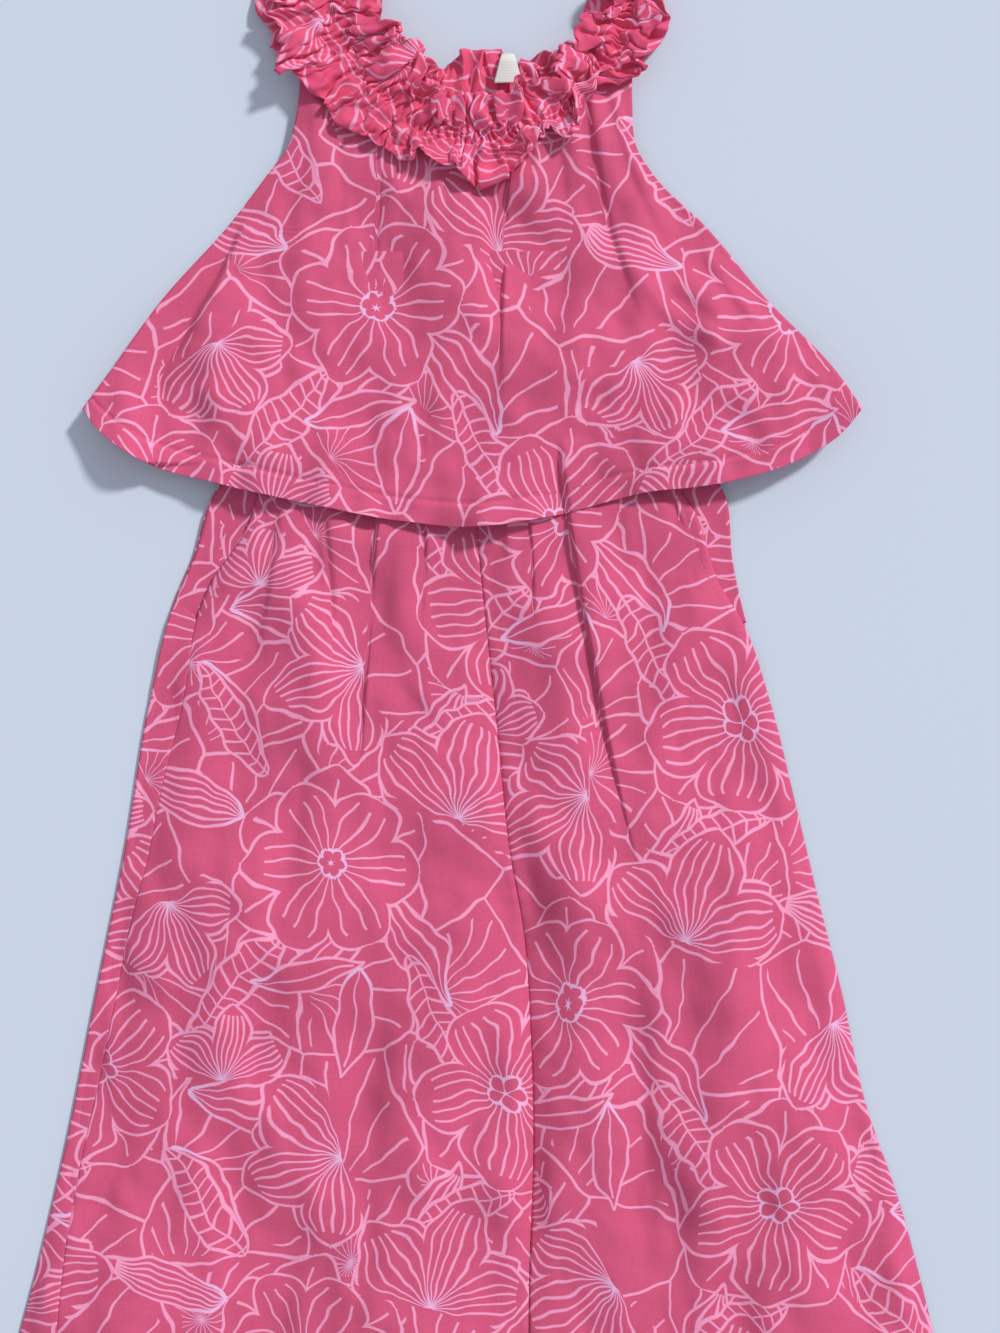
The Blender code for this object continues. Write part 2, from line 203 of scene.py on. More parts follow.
for name in DRAWN:
    (Field(bloom, drawn.outputs[name]) * shown).feed(outs[name])

# a frond: a long scalloped leaf with cross stripes between its rim and its midrib
STRIPE = 0.0066                         # stripe to stripe along the midrib
STRIPE_APART = 0.0062                   # the same, square to the stripes
SLANT = 0.35                            # how far the stripes lean towards the base, for each step outwards
SCALLOPS, SCALLOP_DEPTH = 26.0, 0.07    # the rim's waves, in radians along it, and their share of its width
frond, (x, y, length, half_width), outs = node_group("frond", ("X", "Y", "Length", "Half Width"), DRAWN)
along = (x / length).clamped()
scallop = (along * SCALLOPS).math("SINE") * SCALLOP_DEPTH + 1.0
half = ((along * pi).math("SINE") ** 0.6) * half_width * scallop
off = y.math("ABSOLUTE")
past = (x - along * length).math("ABSOLUTE")
outside = off - half
rim = outside.math("ABSOLUTE").math("MULTIPLY_ADD", 0.9, past)
stripe = (((x - off * SLANT) / STRIPE).math("FRACT") - 0.5).math("ABSOLUTE") * STRIPE_APART
cover = covered(past, outside)
rim.inked().math("MAXIMUM", off.math("MINIMUM", stripe).inked(0.36) * cover).feed(outs["Line"])
cover.feed(outs["Cover"])

# the repeat: each motif lies over those placed before it, and all lines wander a little, as a hand's do
WANDER = 0.0095                         # the most that a line wanders
drawing, (cloth_map,), outs = node_group("line print", ("Cloth",), ("Line", "Knot"), kind="Vector")
drawn_size = vector_step(drawing, "MULTIPLY", cloth_map, (SHRINK, SHRINK, 1.0))
wave = add(drawing, "TexNoise", {"Scale": 27.0, "Detail": 2.0, "Vector": drawn_size})
hand = vector_step(drawing, "MULTIPLY_ADD", wave.outputs["Color"],
                   (2 * WANDER, 2 * WANDER, 0.0), (-WANDER, -WANDER, 0.0))
cloth_at = vector_step(drawing, "ADD", drawn_size, hand)

# a motif's place and its turn in degrees, its size, where it swells and how round it is, its veins and how
# far up they begin, and the petals of a whole turn
Motif = namedtuple("Motif", "kind x y turn length half_width swell round veins reach petals")
BLOOMS = [Motif(*row) for row in (
    ("bloom", 0.054, 0.06, 46, 0.058, 0.024, 1.5, 0.6, 1.0, 0.9, 5),
    ("bloom", 0.054, 0.06, 10, 0.052, 0.0205, 1.55, 0.6, 3.0, 0.82, 5),
    ("bloom", 0.054, 0.06, 24, 0.011, 0.0045, 1.4, 0.6, 0.0, 0.8, 5),
    ("bloom", 0.178, 0.174, 0, 0.054, 0.019, 1.6, 0.55, 1.0, 0.9, 6),
    ("bloom", 0.178, 0.174, 30, 0.046, 0.017, 1.6, 0.55, 2.0, 0.8, 6),
    ("bloom", 0.178, 0.174, 20, 0.009, 0.0038, 1.4, 0.6, 0.0, 0.8, 6))]
LEAVES = [Motif(*row) for row in (
    ("frond", 0.104, 0.082, 48, 0.074, 0.0105, 0, 0, 0, 0, 0),
    ("petal", 0.112, 0.052, -8, 0.07, 0.013, 0.85, 1.0, 2.0, 0.9, 0),
    ("petal", 0.1, 0.02, -52, 0.066, 0.012, 0.9, 1.0, 1.0, 0.9, 0),
    ("petal", 0.02, 0.108, 128, 0.074, 0.013, 0.85, 1.0, 2.0, 0.9, 0),
    ("frond", 0.222, 0.128, -62, 0.07, 0.011, 0, 0, 0, 0, 0),
    ("frond", 0.14, 0.222, 128, 0.07, 0.01, 0, 0, 0, 0, 0),
    ("petal", 0.13, 0.2, 164, 0.066, 0.0125, 0.9, 1.0, 3.0, 0.9, 0),
    ("petal", 0.222, 0.214, 64, 0.07, 0.013, 0.85, 1.0, 2.0, 0.9, 0),
    ("petal", 0.196, 0.122, -96, 0.06, 0.011, 0.85, 1.0, 1.0, 0.9, 0),
    ("frond", 0.06, 0.008, 200, 0.06, 0.0095, 0, 0, 0, 0, 0),
    ("petal", 0.15, 0.11, 40, 0.066, 0.0085, 0.9, 1.0, 1.0, 0.9, 0),
    ("petal", 0.14, 0.112, 12, 0.06, 0.0085, 0.9, 1.0, 1.0, 0.9, 0))]
LILIES = [Motif("fan", x, y, turn, size * length, size * half_width, 1.35, 0.75, ribs, 0.86, petals)
          for x, y, turn, size in ((0.016, 0.202, 70, 0.92), (0.190, 0.024, 205, 0.86),
                                   (0.090, 0.150, -60, 0.72), (0.126, 0.060, 85, 0.60))
          for length, half_width, ribs, petals in ((0.058, 0.0140, 1.0, 9), (0.066, 0.0205, 3.0, 6))]

# under all of them, a ground of large petals that touch, some with veins that fan out from one side
CELL = 0.058                            # about the size of one ground petal
VEINS = 19                              # veins in a whole turn round their root
EDGE_CLEAR = 0.0045                     # the veins stop this far from a petal's rim
PLAIN = 0.25                            # share of the petals without veins
cells, rims = (add(drawing, "TexVoronoi", {"Scale": 1.0 / CELL, "Randomness": 0.85, "Vector": cloth_at},
                   feature=feature, voronoi_dimensions="2D") for feature in ("F1", "DISTANCE_TO_EDGE"))
rim = Field(drawing, rims.outputs["Distance"]) * CELL
picked, _ = split(drawing, cells.outputs["Color"])
root = vector_step(drawing, "MULTIPLY_ADD", cells.outputs["Color"],
                   (0.030, 0.026, 0.0), (-0.038, -0.034, 0.0))
from_middle = vector_step(drawing, "SUBTRACT", cloth_at, cells.outputs["Position"])
x, y = split(drawing, vector_step(drawing, "SUBTRACT", from_middle, root))
reach = (x * x + y * y).math("SQRT")
vein = (y.math("ARCTAN2", x) * (VEINS / (2 * pi))).math("PINGPONG", 0.5) * reach * (2 * pi / VEINS)
shown = (rim - EDGE_CLEAR).math("GREATER_THAN", 0.0) * (picked - PLAIN).math("GREATER_THAN", 0.0)
vein = (vein + reach.ramp(0.003, 0.030, LINE * 0.34, 0.0)).inked(0.40) * shown
line_work = rim.inked().math("MAXIMUM", vein)
knots = vein * reach.ramp(0.006, 0.018, 0.9, 0.0)

for motif in BLOOMS[:1] + BLOOMS[3:4] + LEAVES + BLOOMS[1:3] + LILIES + BLOOMS[4:]:
    step = vector_step(drawing, "SUBTRACT", cloth_at, (motif.x, motif.y, 0.0))
    step = vector_step(drawing, "WRAP", step, [size / 2 for size in REPEAT], [-size / 2 for size in REPEAT])
    turn = radians(motif.turn)
    placed = [add(drawing, "VectorMath", {0: step, 1: axis}, operation="DOT_PRODUCT").outputs["Value"]
              for axis in ((cos(turn), sin(turn), 0.0), (-sin(turn), cos(turn), 0.0))]
    sizes = {"X": placed[0], "Y": placed[1], "Length": motif.length, "Half_Width": motif.half_width}
    if motif.kind != "frond":
        sizes.update(Swell=motif.swell, Round=motif.round, Veins=motif.veins, Vein_Reach=motif.reach)
    if motif.kind == "bloom":
        sizes.update(Petals=motif.petals, Spread=4.0)
    if motif.kind == "fan":
        sizes.update(Petals=motif.petals, Spread=1.9, Vary=0.16, Turn=0.5)
    drawn = use(drawing, {"petal": petal, "bloom": bloom, "fan": bloom, "frond": frond}[motif.kind], **sizes)
    line, knot, cover = (Field(drawing, drawn.outputs[name]) for name in DRAWN)
    clear = cover.math("MULTIPLY_ADD", -1.0, 1.0)
    line_work = (line_work * clear).math("MAXIMUM", line)
    knots = (knots * clear).math("MAXIMUM", knot)
line_work.feed(outs["Line"])
knots.feed(outs["Knot"])

# the cloth's surface: threads over and under each other, with a slub here and there
THREAD = 0.00042                        # thread to thread
THREAD_HEIGHT = 0.00005                 # how far the threads stand up, and the slubs
SLUB_HEIGHT = 0.00016
weave, (cloth_map,), outs = node_group("weave", ("Cloth",), ("Height", "Slub"), kind="Vector")
over, under = ((axis * (pi / THREAD)).math("SINE") for axis in split(weave, cloth_map))
slubs = []
for scale in ((90.0, 900.0, 1.0), (900.0, 90.0, 1.0)):
    drawn_out = vector_step(weave, "MULTIPLY", cloth_map, scale)
    streak = add(weave, "TexNoise", {"Scale": 1.0, "Detail": 1.0, "Vector": drawn_out})
    slubs.append(Field(weave, streak.outputs["Fac"]))
slub = (slubs[0] + slubs[1]) * 0.5
slub.feed(outs["Slub"])
(over * under * THREAD_HEIGHT + slub * SLUB_HEIGHT).feed(outs["Height"])


def new_finish(name, **settings):
    """A new material, its nodes, and its shader's sockets; words in a socket's name are joined by _ here."""
    material = bpy.data.materials.new(name)
    material.use_nodes = True
    shader = material.node_tree.nodes["Principled BSDF"].inputs
    for label, value in settings.items():
        shader[label.replace("_", " ")].default_value = value
    return material, material.node_tree, shader


def mixed(tree, factor, first, second):
    """The color that goes from first to second as factor goes from 0 to 1."""
    return add(tree, "Mix", {"Factor": factor, "A": first, "B": second}, data_type="RGBA").outputs["Result"]


def bumped(tree, shader, height, **sizes):
    """Raises the surface of a material by a height."""
    bump = add(tree, "Bump", {"Height": height, **sizes})
    tree.links.new(bump.outputs["Normal"], shader["Normal"])


def printed_cotton(name, lay=(0.0, 0.0, 0.0), own_map=True, ground=CORAL):
    """The cloth of one panel, with the print laid on it at lay: across, along, and a turn in degrees."""
    material, tree, shader = new_finish(name, Roughness=0.82, Specular_IOR_Level=0.28, Sheen_Weight=0.10,
                                        Sheen_Roughness=0.45, Sheen_Tint=(1.0, 0.62, 0.74, 1.0))
    if own_map:
        flat = add(tree, "UVMap", uv_map="cut").outputs["UV"]
    else:
        flat = add(tree, "TexCoord").outputs["Object"]
    turned = add(tree, "Mapping", {"Location": (lay[0], lay[1], 0.0), "Rotation": (0.0, 0.0, radians(lay[2])),
                                   "Vector": flat})
    printed = use(tree, drawing, Cloth=turned.outputs["Vector"])
    woven = use(tree, weave, Cloth=flat)
    cloudy = add(tree, "TexNoise", {"Scale": 14.0, "Detail": 2.0, "Vector": flat})
    shade = Field(tree, cloudy.outputs["Fac"]).ramp(0.3, 0.7, 0.955, 1.045) \
        * Field(tree, woven.outputs["Slub"]).ramp(0.35, 0.65, 0.965, 1.035)
    color = mixed(tree, printed.outputs["Line"], ground, PALE_PINK)
    color = mixed(tree, printed.outputs["Knot"], color, LILAC)
    dyed = add(tree, "VectorMath", {0: color, "Scale": shade}, operation="SCALE")
    tree.links.new(dyed.outputs["Vector"], shader["Base Color"])
    bumped(tree, shader, woven.outputs["Height"], Strength=0.55, Distance=1.0)
    return material


# ---------------------------------------------------------------- the trousers
# Two long wide legs, each cut as a front and a back, with a side piece behind a slanted pocket mouth. The
# fronts are pleated into the waist and meet in a centre seam; the left back comes round the edge of its leg.
WALL = 0.00045                          # thickness of the cotton
LAYER = 0.0013                          # one layer to the next, as in the frame
FLOOR = 0.0005                          # middle of a layer that lies on the table
WAIST_Y = 0.122
CROTCH_Y = -0.080
HEM_Y = -0.370
LEG_HEM = 0.024                         # depth of the turned hem of a leg
MOUTH_LOW_Y = 0.036                     # low end of the pocket mouths
BODICE_LOW_Y, BODICE_HALF = 0.105, 0.094    # the bodice's low edge and half its width, at most
POPOVER_HEM = (
    (-0.194, 0.142), (-0.1865, 0.1325), (-0.1665, 0.1175), (-0.1265, 0.105), (-0.0865, 0.096),
    (-0.0365, 0.0865), (0.0035, 0.0835), (0.0435, 0.09), (0.0835, 0.1), (0.1235, 0.105),
    (0.1635, 0.1175), (0.183, 0.13), (0.193, 0.142))
POPOVER_LEFT = (
    (-0.086, 0.312), (-0.088, 0.29), (-0.093, 0.2725), (-0.1025, 0.26), (-0.1225, 0.235),
    (-0.155, 0.1975), (-0.181, 0.16), (-0.194, 0.142))
POPOVER_RIGHT = (
    (0.0795, 0.312), (0.0795, 0.295), (0.082, 0.2725), (0.09, 0.26), (0.116, 0.235),
    (0.146, 0.1975), (0.1805, 0.16), (0.193, 0.142))
LEG_LEFT_EDGE = (
    (-0.112, WAIST_Y), (-0.13, 0.1), (-0.14, 0.07), (-0.1495, 0.0475), (-0.162, -0.0025),
    (-0.1745, -0.0775), (-0.1895, -0.1525), (-0.2045, -0.2275), (-0.2165, -0.2795), (-0.241, HEM_Y))
LEG_LEFT_SEAM = (
    (-0.102, WAIST_Y), (-0.109, 0.095), (-0.114, 0.082), (-0.131, 0.0565), (-0.138, 0.04),
    (-0.1435, 0.006), (-0.156, -0.046), (-0.164, -0.085), (-0.173, -0.12), (-0.1845, -0.1795),
    (-0.198, -0.24), (-0.2055, -0.29), (-0.21, HEM_Y))
LEG_RIGHT_EDGE = (
    (0.112, WAIST_Y), (0.126, 0.1), (0.13, 0.0675), (0.134, 0.0475), (0.1485, -0.0025),
    (0.161, -0.0525), (0.173, -0.1025), (0.1855, -0.1525), (0.196, -0.2025), (0.213, -0.2525),
    (0.2265, -0.3025), (0.241, HEM_Y))
LEG_RIGHT_SEAM = (
    (0.096, WAIST_Y), (0.1035, 0.103), (0.1115, 0.09), (0.1165, 0.0755), (0.1235, 0.055),
    (0.133, 0.04)) + LEG_RIGHT_EDGE[4:]
CENTRE_SEAM = (
    (0.0005, WAIST_Y), (0.002, 0.08), (0.0055, 0.043), (0.012, -0.0175), (0.0185, CROTCH_Y),
    (0.025, -0.117), (0.029, -0.1745), (0.03, -0.23), (0.028, -0.29), (0.0275, HEM_Y))

# soft folds: from the top to the low end, how far the run bows sideways, the height (a trough is below 0),
# the width of its left and right flanks, how soon it rises and fades, as parts of its length, and the cloth
# that a pleat hides
Fold = namedtuple("Fold", "x_top y_top x_low y_low bow height left right rise fade hidden", defaults=(0.0,))
LEG_PLEATS = [Fold(*row) for row in (
    (-0.047, 0.1, -0.0572, -0.048, -0.001, -0.0034, 0.012, 0.0011, 0.0, 0.45, 0.01),
    (0.045, 0.104, 0.085, -0.1, -0.003, -0.004, 0.013, 0.001, 0.0, 0.5, 0.012),
    (0.0262, 0.1, 0.03, 0.03, 0.001, -0.0022, 0.006, 0.001, 0.0, 0.6, 0.005),
    (-0.024, 0.1, -0.027, 0.025, 0.001, -0.0018, 0.005, 0.001, 0.0, 0.6, 0.004),
    (-0.076, 0.105, -0.07, -0.01, 0.002, -0.0018, 0.009, 0.0022, 0.0, 0.6, 0.003),
    (-0.098, 0.1, -0.113, 0.01, 0.003, -0.0016, 0.008, 0.0022, 0.0, 0.6, 0.003),
    (0.096, 0.108, 0.112, 0.05, 0.001, -0.002, 0.005, 0.0014, 0.0, 0.5))]
LEG_FOLDS = LEG_PLEATS + [Fold(*row) for row in (
    (-0.01, 0.096, -0.008, 0.045, 0.0, -0.0012, 0.004, 0.002, 0.0, 0.6),
    (0.014, 0.098, 0.0165, 0.02, 0.0, -0.0016, 0.005, 0.0018, 0.0, 0.6),
    (0.07, 0.105, 0.076, 0.035, 0.001, -0.0012, 0.008, 0.004, 0.0, 0.6),
    (0.105, 0.108, 0.123, 0.062, -0.002, -0.0016, 0.0035, 0.0025, 0.0, 0.5),
    (-0.062, 0.02, -0.09, -0.19, 0.006, 0.0034, 0.015, 0.021, 0.4, 0.5),
    (-0.086, -0.005, -0.101, -0.13, 0.004, -0.0026, 0.012, 0.006, 0.3, 0.5),
    (-0.115, -0.03, -0.145, -0.26, 0.008, 0.0028, 0.018, 0.022, 0.4, 0.5),
    (-0.02, -0.1, -0.03, -0.33, -0.006, 0.0032, 0.018, 0.02, 0.4, 0.5),
    (-0.048, -0.13, -0.07, -0.37, 0.006, -0.0025, 0.015, 0.008, 0.3, 0.3),
    (0.048, -0.06, 0.056, -0.27, 0.005, 0.0034, 0.015, 0.018, 0.4, 0.5),
    (0.078, -0.115, 0.083, -0.33, 0.004, -0.0028, 0.014, 0.007, 0.2, 0.4),
    (0.1, -0.04, 0.135, -0.3, 0.009, 0.0032, 0.02, 0.023, 0.4, 0.5),
    (0.145, -0.13, 0.19, -0.36, 0.006, 0.0024, 0.015, 0.018, 0.4, 0.5),
    (-0.16, -0.18, -0.185, -0.37, -0.005, 0.0024, 0.011, 0.014, 0.4, 0.2),
    (0.092, -0.21, 0.105, -0.37, 0.003, -0.0022, 0.013, 0.008, 0.4, 0.1),
    (-0.09, -0.22, -0.105, -0.37, 0.003, -0.0022, 0.012, 0.008, 0.4, 0.1),
    (-0.042, 0.01, -0.008, -0.035, 0.002, -0.0014, 0.007, 0.004, 0.3, 0.4),
    (0.118, 0.015, 0.096, -0.045, 0.002, -0.0015, 0.008, 0.004, 0.3, 0.4),
    (-0.132, -0.09, -0.101, -0.15, 0.003, -0.0014, 0.009, 0.005, 0.3, 0.4),
    (0.162, -0.17, 0.125, -0.205, 0.003, -0.0014, 0.008, 0.005, 0.3, 0.4))]
UNDER_FOLDS = [Fold(*row) for row in (  # those of the cloth on the table
    (-0.07, 0.09, -0.09, -0.06, 0.004, 0.0022, 0.006, 0.012, 0.1, 0.5),
    (-0.035, 0.095, -0.042, 0.01, 0.002, 0.0016, 0.005, 0.009, 0.1, 0.6),
    (0.05, 0.095, 0.072, -0.05, 0.003, 0.002, 0.006, 0.011, 0.1, 0.5),
    (0.085, 0.09, 0.1, 0.01, 0.002, 0.0015, 0.005, 0.009, 0.1, 0.6),
    (0.035, -0.05, 0.065, -0.3, 0.006, 0.0022, 0.012, 0.018, 0.3, 0.4),
    (-0.03, -0.07, -0.075, -0.32, 0.006, 0.0024, 0.014, 0.019, 0.3, 0.4),
    (0.115, -0.06, 0.165, -0.32, 0.007, 0.0019, 0.012, 0.016, 0.3, 0.4),
    (-0.115, -0.08, -0.16, -0.32, 0.007, 0.0018, 0.012, 0.016, 0.3, 0.4),
    (-0.105, 0.205, -0.145, 0.155, 0.003, 0.0022, 0.005, 0.011, 0.3, 0.4),
    (0.105, 0.205, 0.14, 0.15, -0.003, 0.002, 0.005, 0.011, 0.3, 0.4))]

# soft unevenness of the legs' upper and lower cloth: size across, height, length to width, and a seed
LEG_BROAD = (0.050, 0.0064, 1.6, 1.7)
LEG_MIDDLE = (0.025, 0.0036, 1.6, 3.1)
LEG_FINE = (0.011, 0.0010, 1.3, 8.4)
UNDER_SOFT = (0.036, 0.0036, 1.6, 4.4)


def smooth(value):
    """A ramp from 0 to 1 with level ends."""
    t = np.clip(value, 0.0, 1.0)
    return t * t * (3.0 - 2.0 * t)


def curve(rows):
    """A smooth line through the rows of a table, from 0 at its first row to 1 at its last."""
    knots = np.array(rows, dtype=float)
    steps = np.linalg.norm(np.diff(knots[:, :2], axis=0), axis=1)
    at = np.concatenate(([0.0], np.cumsum(steps))) / steps.sum()
    slopes = np.gradient(knots, at, axis=0)

    def place(t):
        t = np.asarray(t, dtype=float)
        i = np.clip(np.searchsorted(at, t) - 1, 0, len(at) - 2)
        span = (at[i + 1] - at[i])[..., None]
        s = (t[..., None] - at[i][..., None]) / span
        start = (2 * s**3 - 3 * s**2 + 1) * knots[i] + (s**3 - 2 * s**2 + s) * span * slopes[i]
        end = (3 * s**2 - 2 * s**3) * knots[i + 1] + (s**3 - s**2) * span * slopes[i + 1]
        return start + end

    return place


def moved(rows, x=0.0, y=0.0):
    return [(row[0] + x, row[1] + y) for row in rows]


def patch(top, low, left, right):
    """The flat sheet between four edges that share their corners: u runs left to right, v top to low."""
    top, low, left, right = curve(top), curve(low), curve(left), curve(right)
    corners = (top(0.0), top(1.0), low(0.0), low(1.0))

    def place(u, v):
        a, b = u[:, None], v[:, None]
        across = (1 - b) * top(u) + b * low(u)
        down = (1 - a) * left(v) + a * right(v)
        twist = ((1 - a) * (1 - b) * corners[0] + a * (1 - b) * corners[1]
                 + (1 - a) * b * corners[2] + a * b * corners[3])
        return (across + down - twist).T

    return place


def level(left, right, y):
    """A straight edge at one y, between the x of two sides there."""
    return ((left, y), ((left + right) / 2, y), (right, y))


def leg_panel(left, right):
    """The plan of a leg's panel between its two sides, from the waist to the hem."""
    waist = level(left[0][0], right[0][0], WAIST_Y)
    hem = level(left[-1][0], right[-1][0], HEM_Y)
    return patch(waist, hem, left, right)


def on_plan(sheet, height):
    """The places of a sheet's cloth: the plan from the sheet, and height from x and y."""

    def form(u, v):
        x, y = sheet(u, v)
        return x, y, height(x, y)

    return form


def beside(fold, x, y):
    """How far a place lies off the line of a fold, right being above 0, and how strong the fold is there."""
    run_x, run_y = fold.x_low - fold.x_top, fold.y_low - fold.y_top
    length = (run_x**2 + run_y**2) ** 0.5
    step_x, step_y = x - fold.x_top, y - fold.y_top
    along = (step_x * run_x + step_y * run_y) / length**2
    off = (step_y * run_x - step_x * run_y) / length - fold.bow * 4 * along * (1 - along)
    strength = smooth(1 - np.clip(along - 1 + fold.fade, 0, None) / fold.fade)
    if fold.rise:
        strength = strength * smooth(along / fold.rise)
    return off, strength


def folds(table, x, y):
    """The height that the folds of a table add at x, y."""
    height = np.zeros_like(x)
    for fold in table:
        off, strength = beside(fold, x, y)
        flank = np.where(off < 0, fold.left, fold.right)
        height += fold.height * np.exp(-(off / flank) ** 2) * strength
    return height


def crowded(pleats, sheet, u, v):
    """The columns of a sheet, drawn together along its pleats so that these come out crisp."""
    levels, row = np.unique(v, return_inverse=True)
    fine = np.linspace(0.0, 1.0, 301)
    grid_u, grid_v = np.meshgrid(fine, levels)
    x, y = sheet(grid_u.ravel(), grid_v.ravel())
    crowd = np.ones_like(x)
    for fold in pleats:
        off, strength = beside(fold, x, y)
        crowd += 6.0 * strength * np.exp(-(off / 0.0030) ** 2)
    crowd = crowd.reshape(grid_u.shape)
    total = np.cumsum(crowd[:, 1:] + crowd[:, :-1], axis=1)
    placed = np.zeros_like(u)
    for i in range(len(levels)):
        share = np.concatenate(([0.0], total[i])) / total[i][-1]
        placed[row == i] = np.interp(u[row == i], share, fine)
    return placed


def crumple(x, y, size, height, long, seed):
    """Soft irregular ups and downs of this size across and about this height, long times as long as wide."""
    return height * np.array([noise.noise((a / size, b / size, seed)) for a, b in zip(x, y / long)])


def y_on(rows, x):
    """The y of an outline that runs left to right, at x."""
    points = curve(rows)(np.linspace(0.0, 1.0, 241))
    return np.interp(x, points[:, 0], points[:, 1])


def x_on(rows, y):
    """The x of an outline that runs down, at y."""
    points = curve(rows)(np.linspace(0.0, 1.0, 241))
    return np.interp(-y, -points[:, 1], points[:, 0])


def in_scene(name, bm):
    """A new object with the shape of a bmesh."""
    mesh = bpy.data.meshes.new(name)
    bm.to_mesh(mesh)
    bm.free()
    piece = bpy.data.objects.new(name, mesh)
    bpy.context.scene.collection.objects.link(piece)
    return piece


def laid_grid(name, columns, rows, form):
    """A grid of quads, u across and v from its top to its low edge; form gives the place of each u, v."""
    bm = bmesh.new()
    bmesh.ops.create_grid(bm, x_segments=columns, y_segments=rows, size=0.5)
    u = np.array([vert.co.x + 0.5 for vert in bm.verts])
    v = np.array([0.5 - vert.co.y for vert in bm.verts])
    places = np.stack(form(u, v), axis=1)
    for vert, place in zip(bm.verts, places):
        vert.co = place
    return in_scene(name, bm), u, v, places


def give_wall(piece, thickness):
    wall = piece.modifiers.new("wall", "SOLIDIFY")
    wall.thickness = thickness
    wall.offset = 0.0


def cloth(name, columns, rows, form, lay=(0.0, 0.0, 0.0), cut=None, pleats=(), ground=CORAL):
    """A panel of printed cotton: form gives the place of its middle surface at u, v; its map is the flat cut.

    Where cut isn't given, the flat cut is the plan of the panel plus the cloth that its folds take up and its
    pleats hide.
    """
    piece, u, v, places = laid_grid(name, columns, rows, form)
    mesh = piece.data
    if cut:
        flat = np.stack(cut(u, v), axis=1)
    else:
        order = np.lexsort((np.round(u, 6), np.round(v, 6)))
        grid = places[order].reshape(rows + 1, columns + 1, 3)
        step = np.diff(grid, axis=1)
        extra = np.linalg.norm(step, axis=2) - np.linalg.norm(step[:, :, :2], axis=2)
        taken = np.concatenate((np.zeros((rows + 1, 1)), np.cumsum(extra, axis=1)), axis=1)
        for fold in pleats:
            off, strength = beside(fold, grid[:, :, 0], grid[:, :, 1])
            taken += fold.hidden * strength * smooth(off / 0.0009 + 0.5)
        taken -= taken[:, columns // 2][:, None]
        flat = np.zeros((len(u), 2))
        flat[order] = np.stack((grid[:, :, 0] + taken, grid[:, :, 1]), axis=2).reshape(-1, 2)
    corners = np.zeros(len(mesh.loops), dtype=np.int32)
    mesh.loops.foreach_get("vertex_index", corners)
    mesh.uv_layers.new(name="cut").data.foreach_set("uv", flat[corners].ravel())
    mesh.shade_smooth()
    give_wall(piece, WALL)
    mesh.materials.append(printed_cotton(name, lay, ground=ground))
    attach(piece, "root")
    return piece


HEM_SLOPE_LOW, HEM_SLOPE = 0.045, 0.037     # the trousers begin to rise onto it this far below its hem


def over_popover_hem(x, y):
    """1 where the trousers lie on the popover back, 0 below its hem."""
    return smooth((y - y_on(POPOVER_HEM, x) + HEM_SLOPE_LOW) / HEM_SLOPE)


UNDER_LEAST, UNDER_MOST = 0.0008, 0.0034    # how far the cloth on the table buckles up from it
LEGS_TOP_Y = 0.115                      # above this the popover lies on the table, below it the legs do


def under_wave(x, y):
    """How far the cloth on the table is buckled up from it, away from its edges and from the bodice."""
    in_popover = np.minimum(x - x_on(POPOVER_LEFT, y), x_on(POPOVER_RIGHT, y) - x)
    in_legs = np.minimum(x - x_on(LEG_LEFT_EDGE, y), x_on(LEG_RIGHT_EDGE, y) - x)
    in_legs = np.minimum(in_legs, np.abs(x - x_on(CENTRE_SEAM, y)))
    inside = np.where(y > LEGS_TOP_Y, in_popover, in_legs)
    clear = np.maximum(smooth((BODICE_LOW_Y - y) / 0.030), smooth((np.abs(x) - BODICE_HALF) / 0.020))
    raised = UNDER_LEAST + crumple(x, y, *UNDER_SOFT) + folds(UNDER_FOLDS, x, y)
    return np.clip(raised, 0.0, UNDER_MOST) * clear * smooth(inside / 0.016)


def leg_back_z(x, y):
    return FLOOR + LAYER * over_popover_hem(x, y) + under_wave(x, y)


def at_pocket(x, y):
    """1 near the slanted pocket mouths, where the side pieces lie between back and front."""
    mouth = np.where(x > 0, x_on(LEG_RIGHT_SEAM, y), -x_on(LEG_LEFT_SEAM, y))
    near = smooth(1.0 - (mouth - np.abs(x) - 0.012) / 0.022)
    return near * smooth((y + 0.010) / 0.035)


def seam_dip(gap):
    """How far the cloth rolls down beside a seam or an edge that is gap away."""
    return np.exp(-np.clip(gap, 0, None) / 0.0016)


LEG_LOFT = 0.0042                       # how high a leg's front stands in its middle, near the waist
LOWER_LOFT = 0.0014                     # and how much more below the popover
PUCKER, PUCKER_PITCH = 0.00035, 0.0065  # the small puckers along the centre seam
HEM_THICK = 0.0003                      # the turned hem is this much thicker
HEM_GROOVE = 0.0005                     # and its line of stitches sinks in this far
CENTRE_DIP = 0.0005                     # the fronts roll down this far into the centre seam


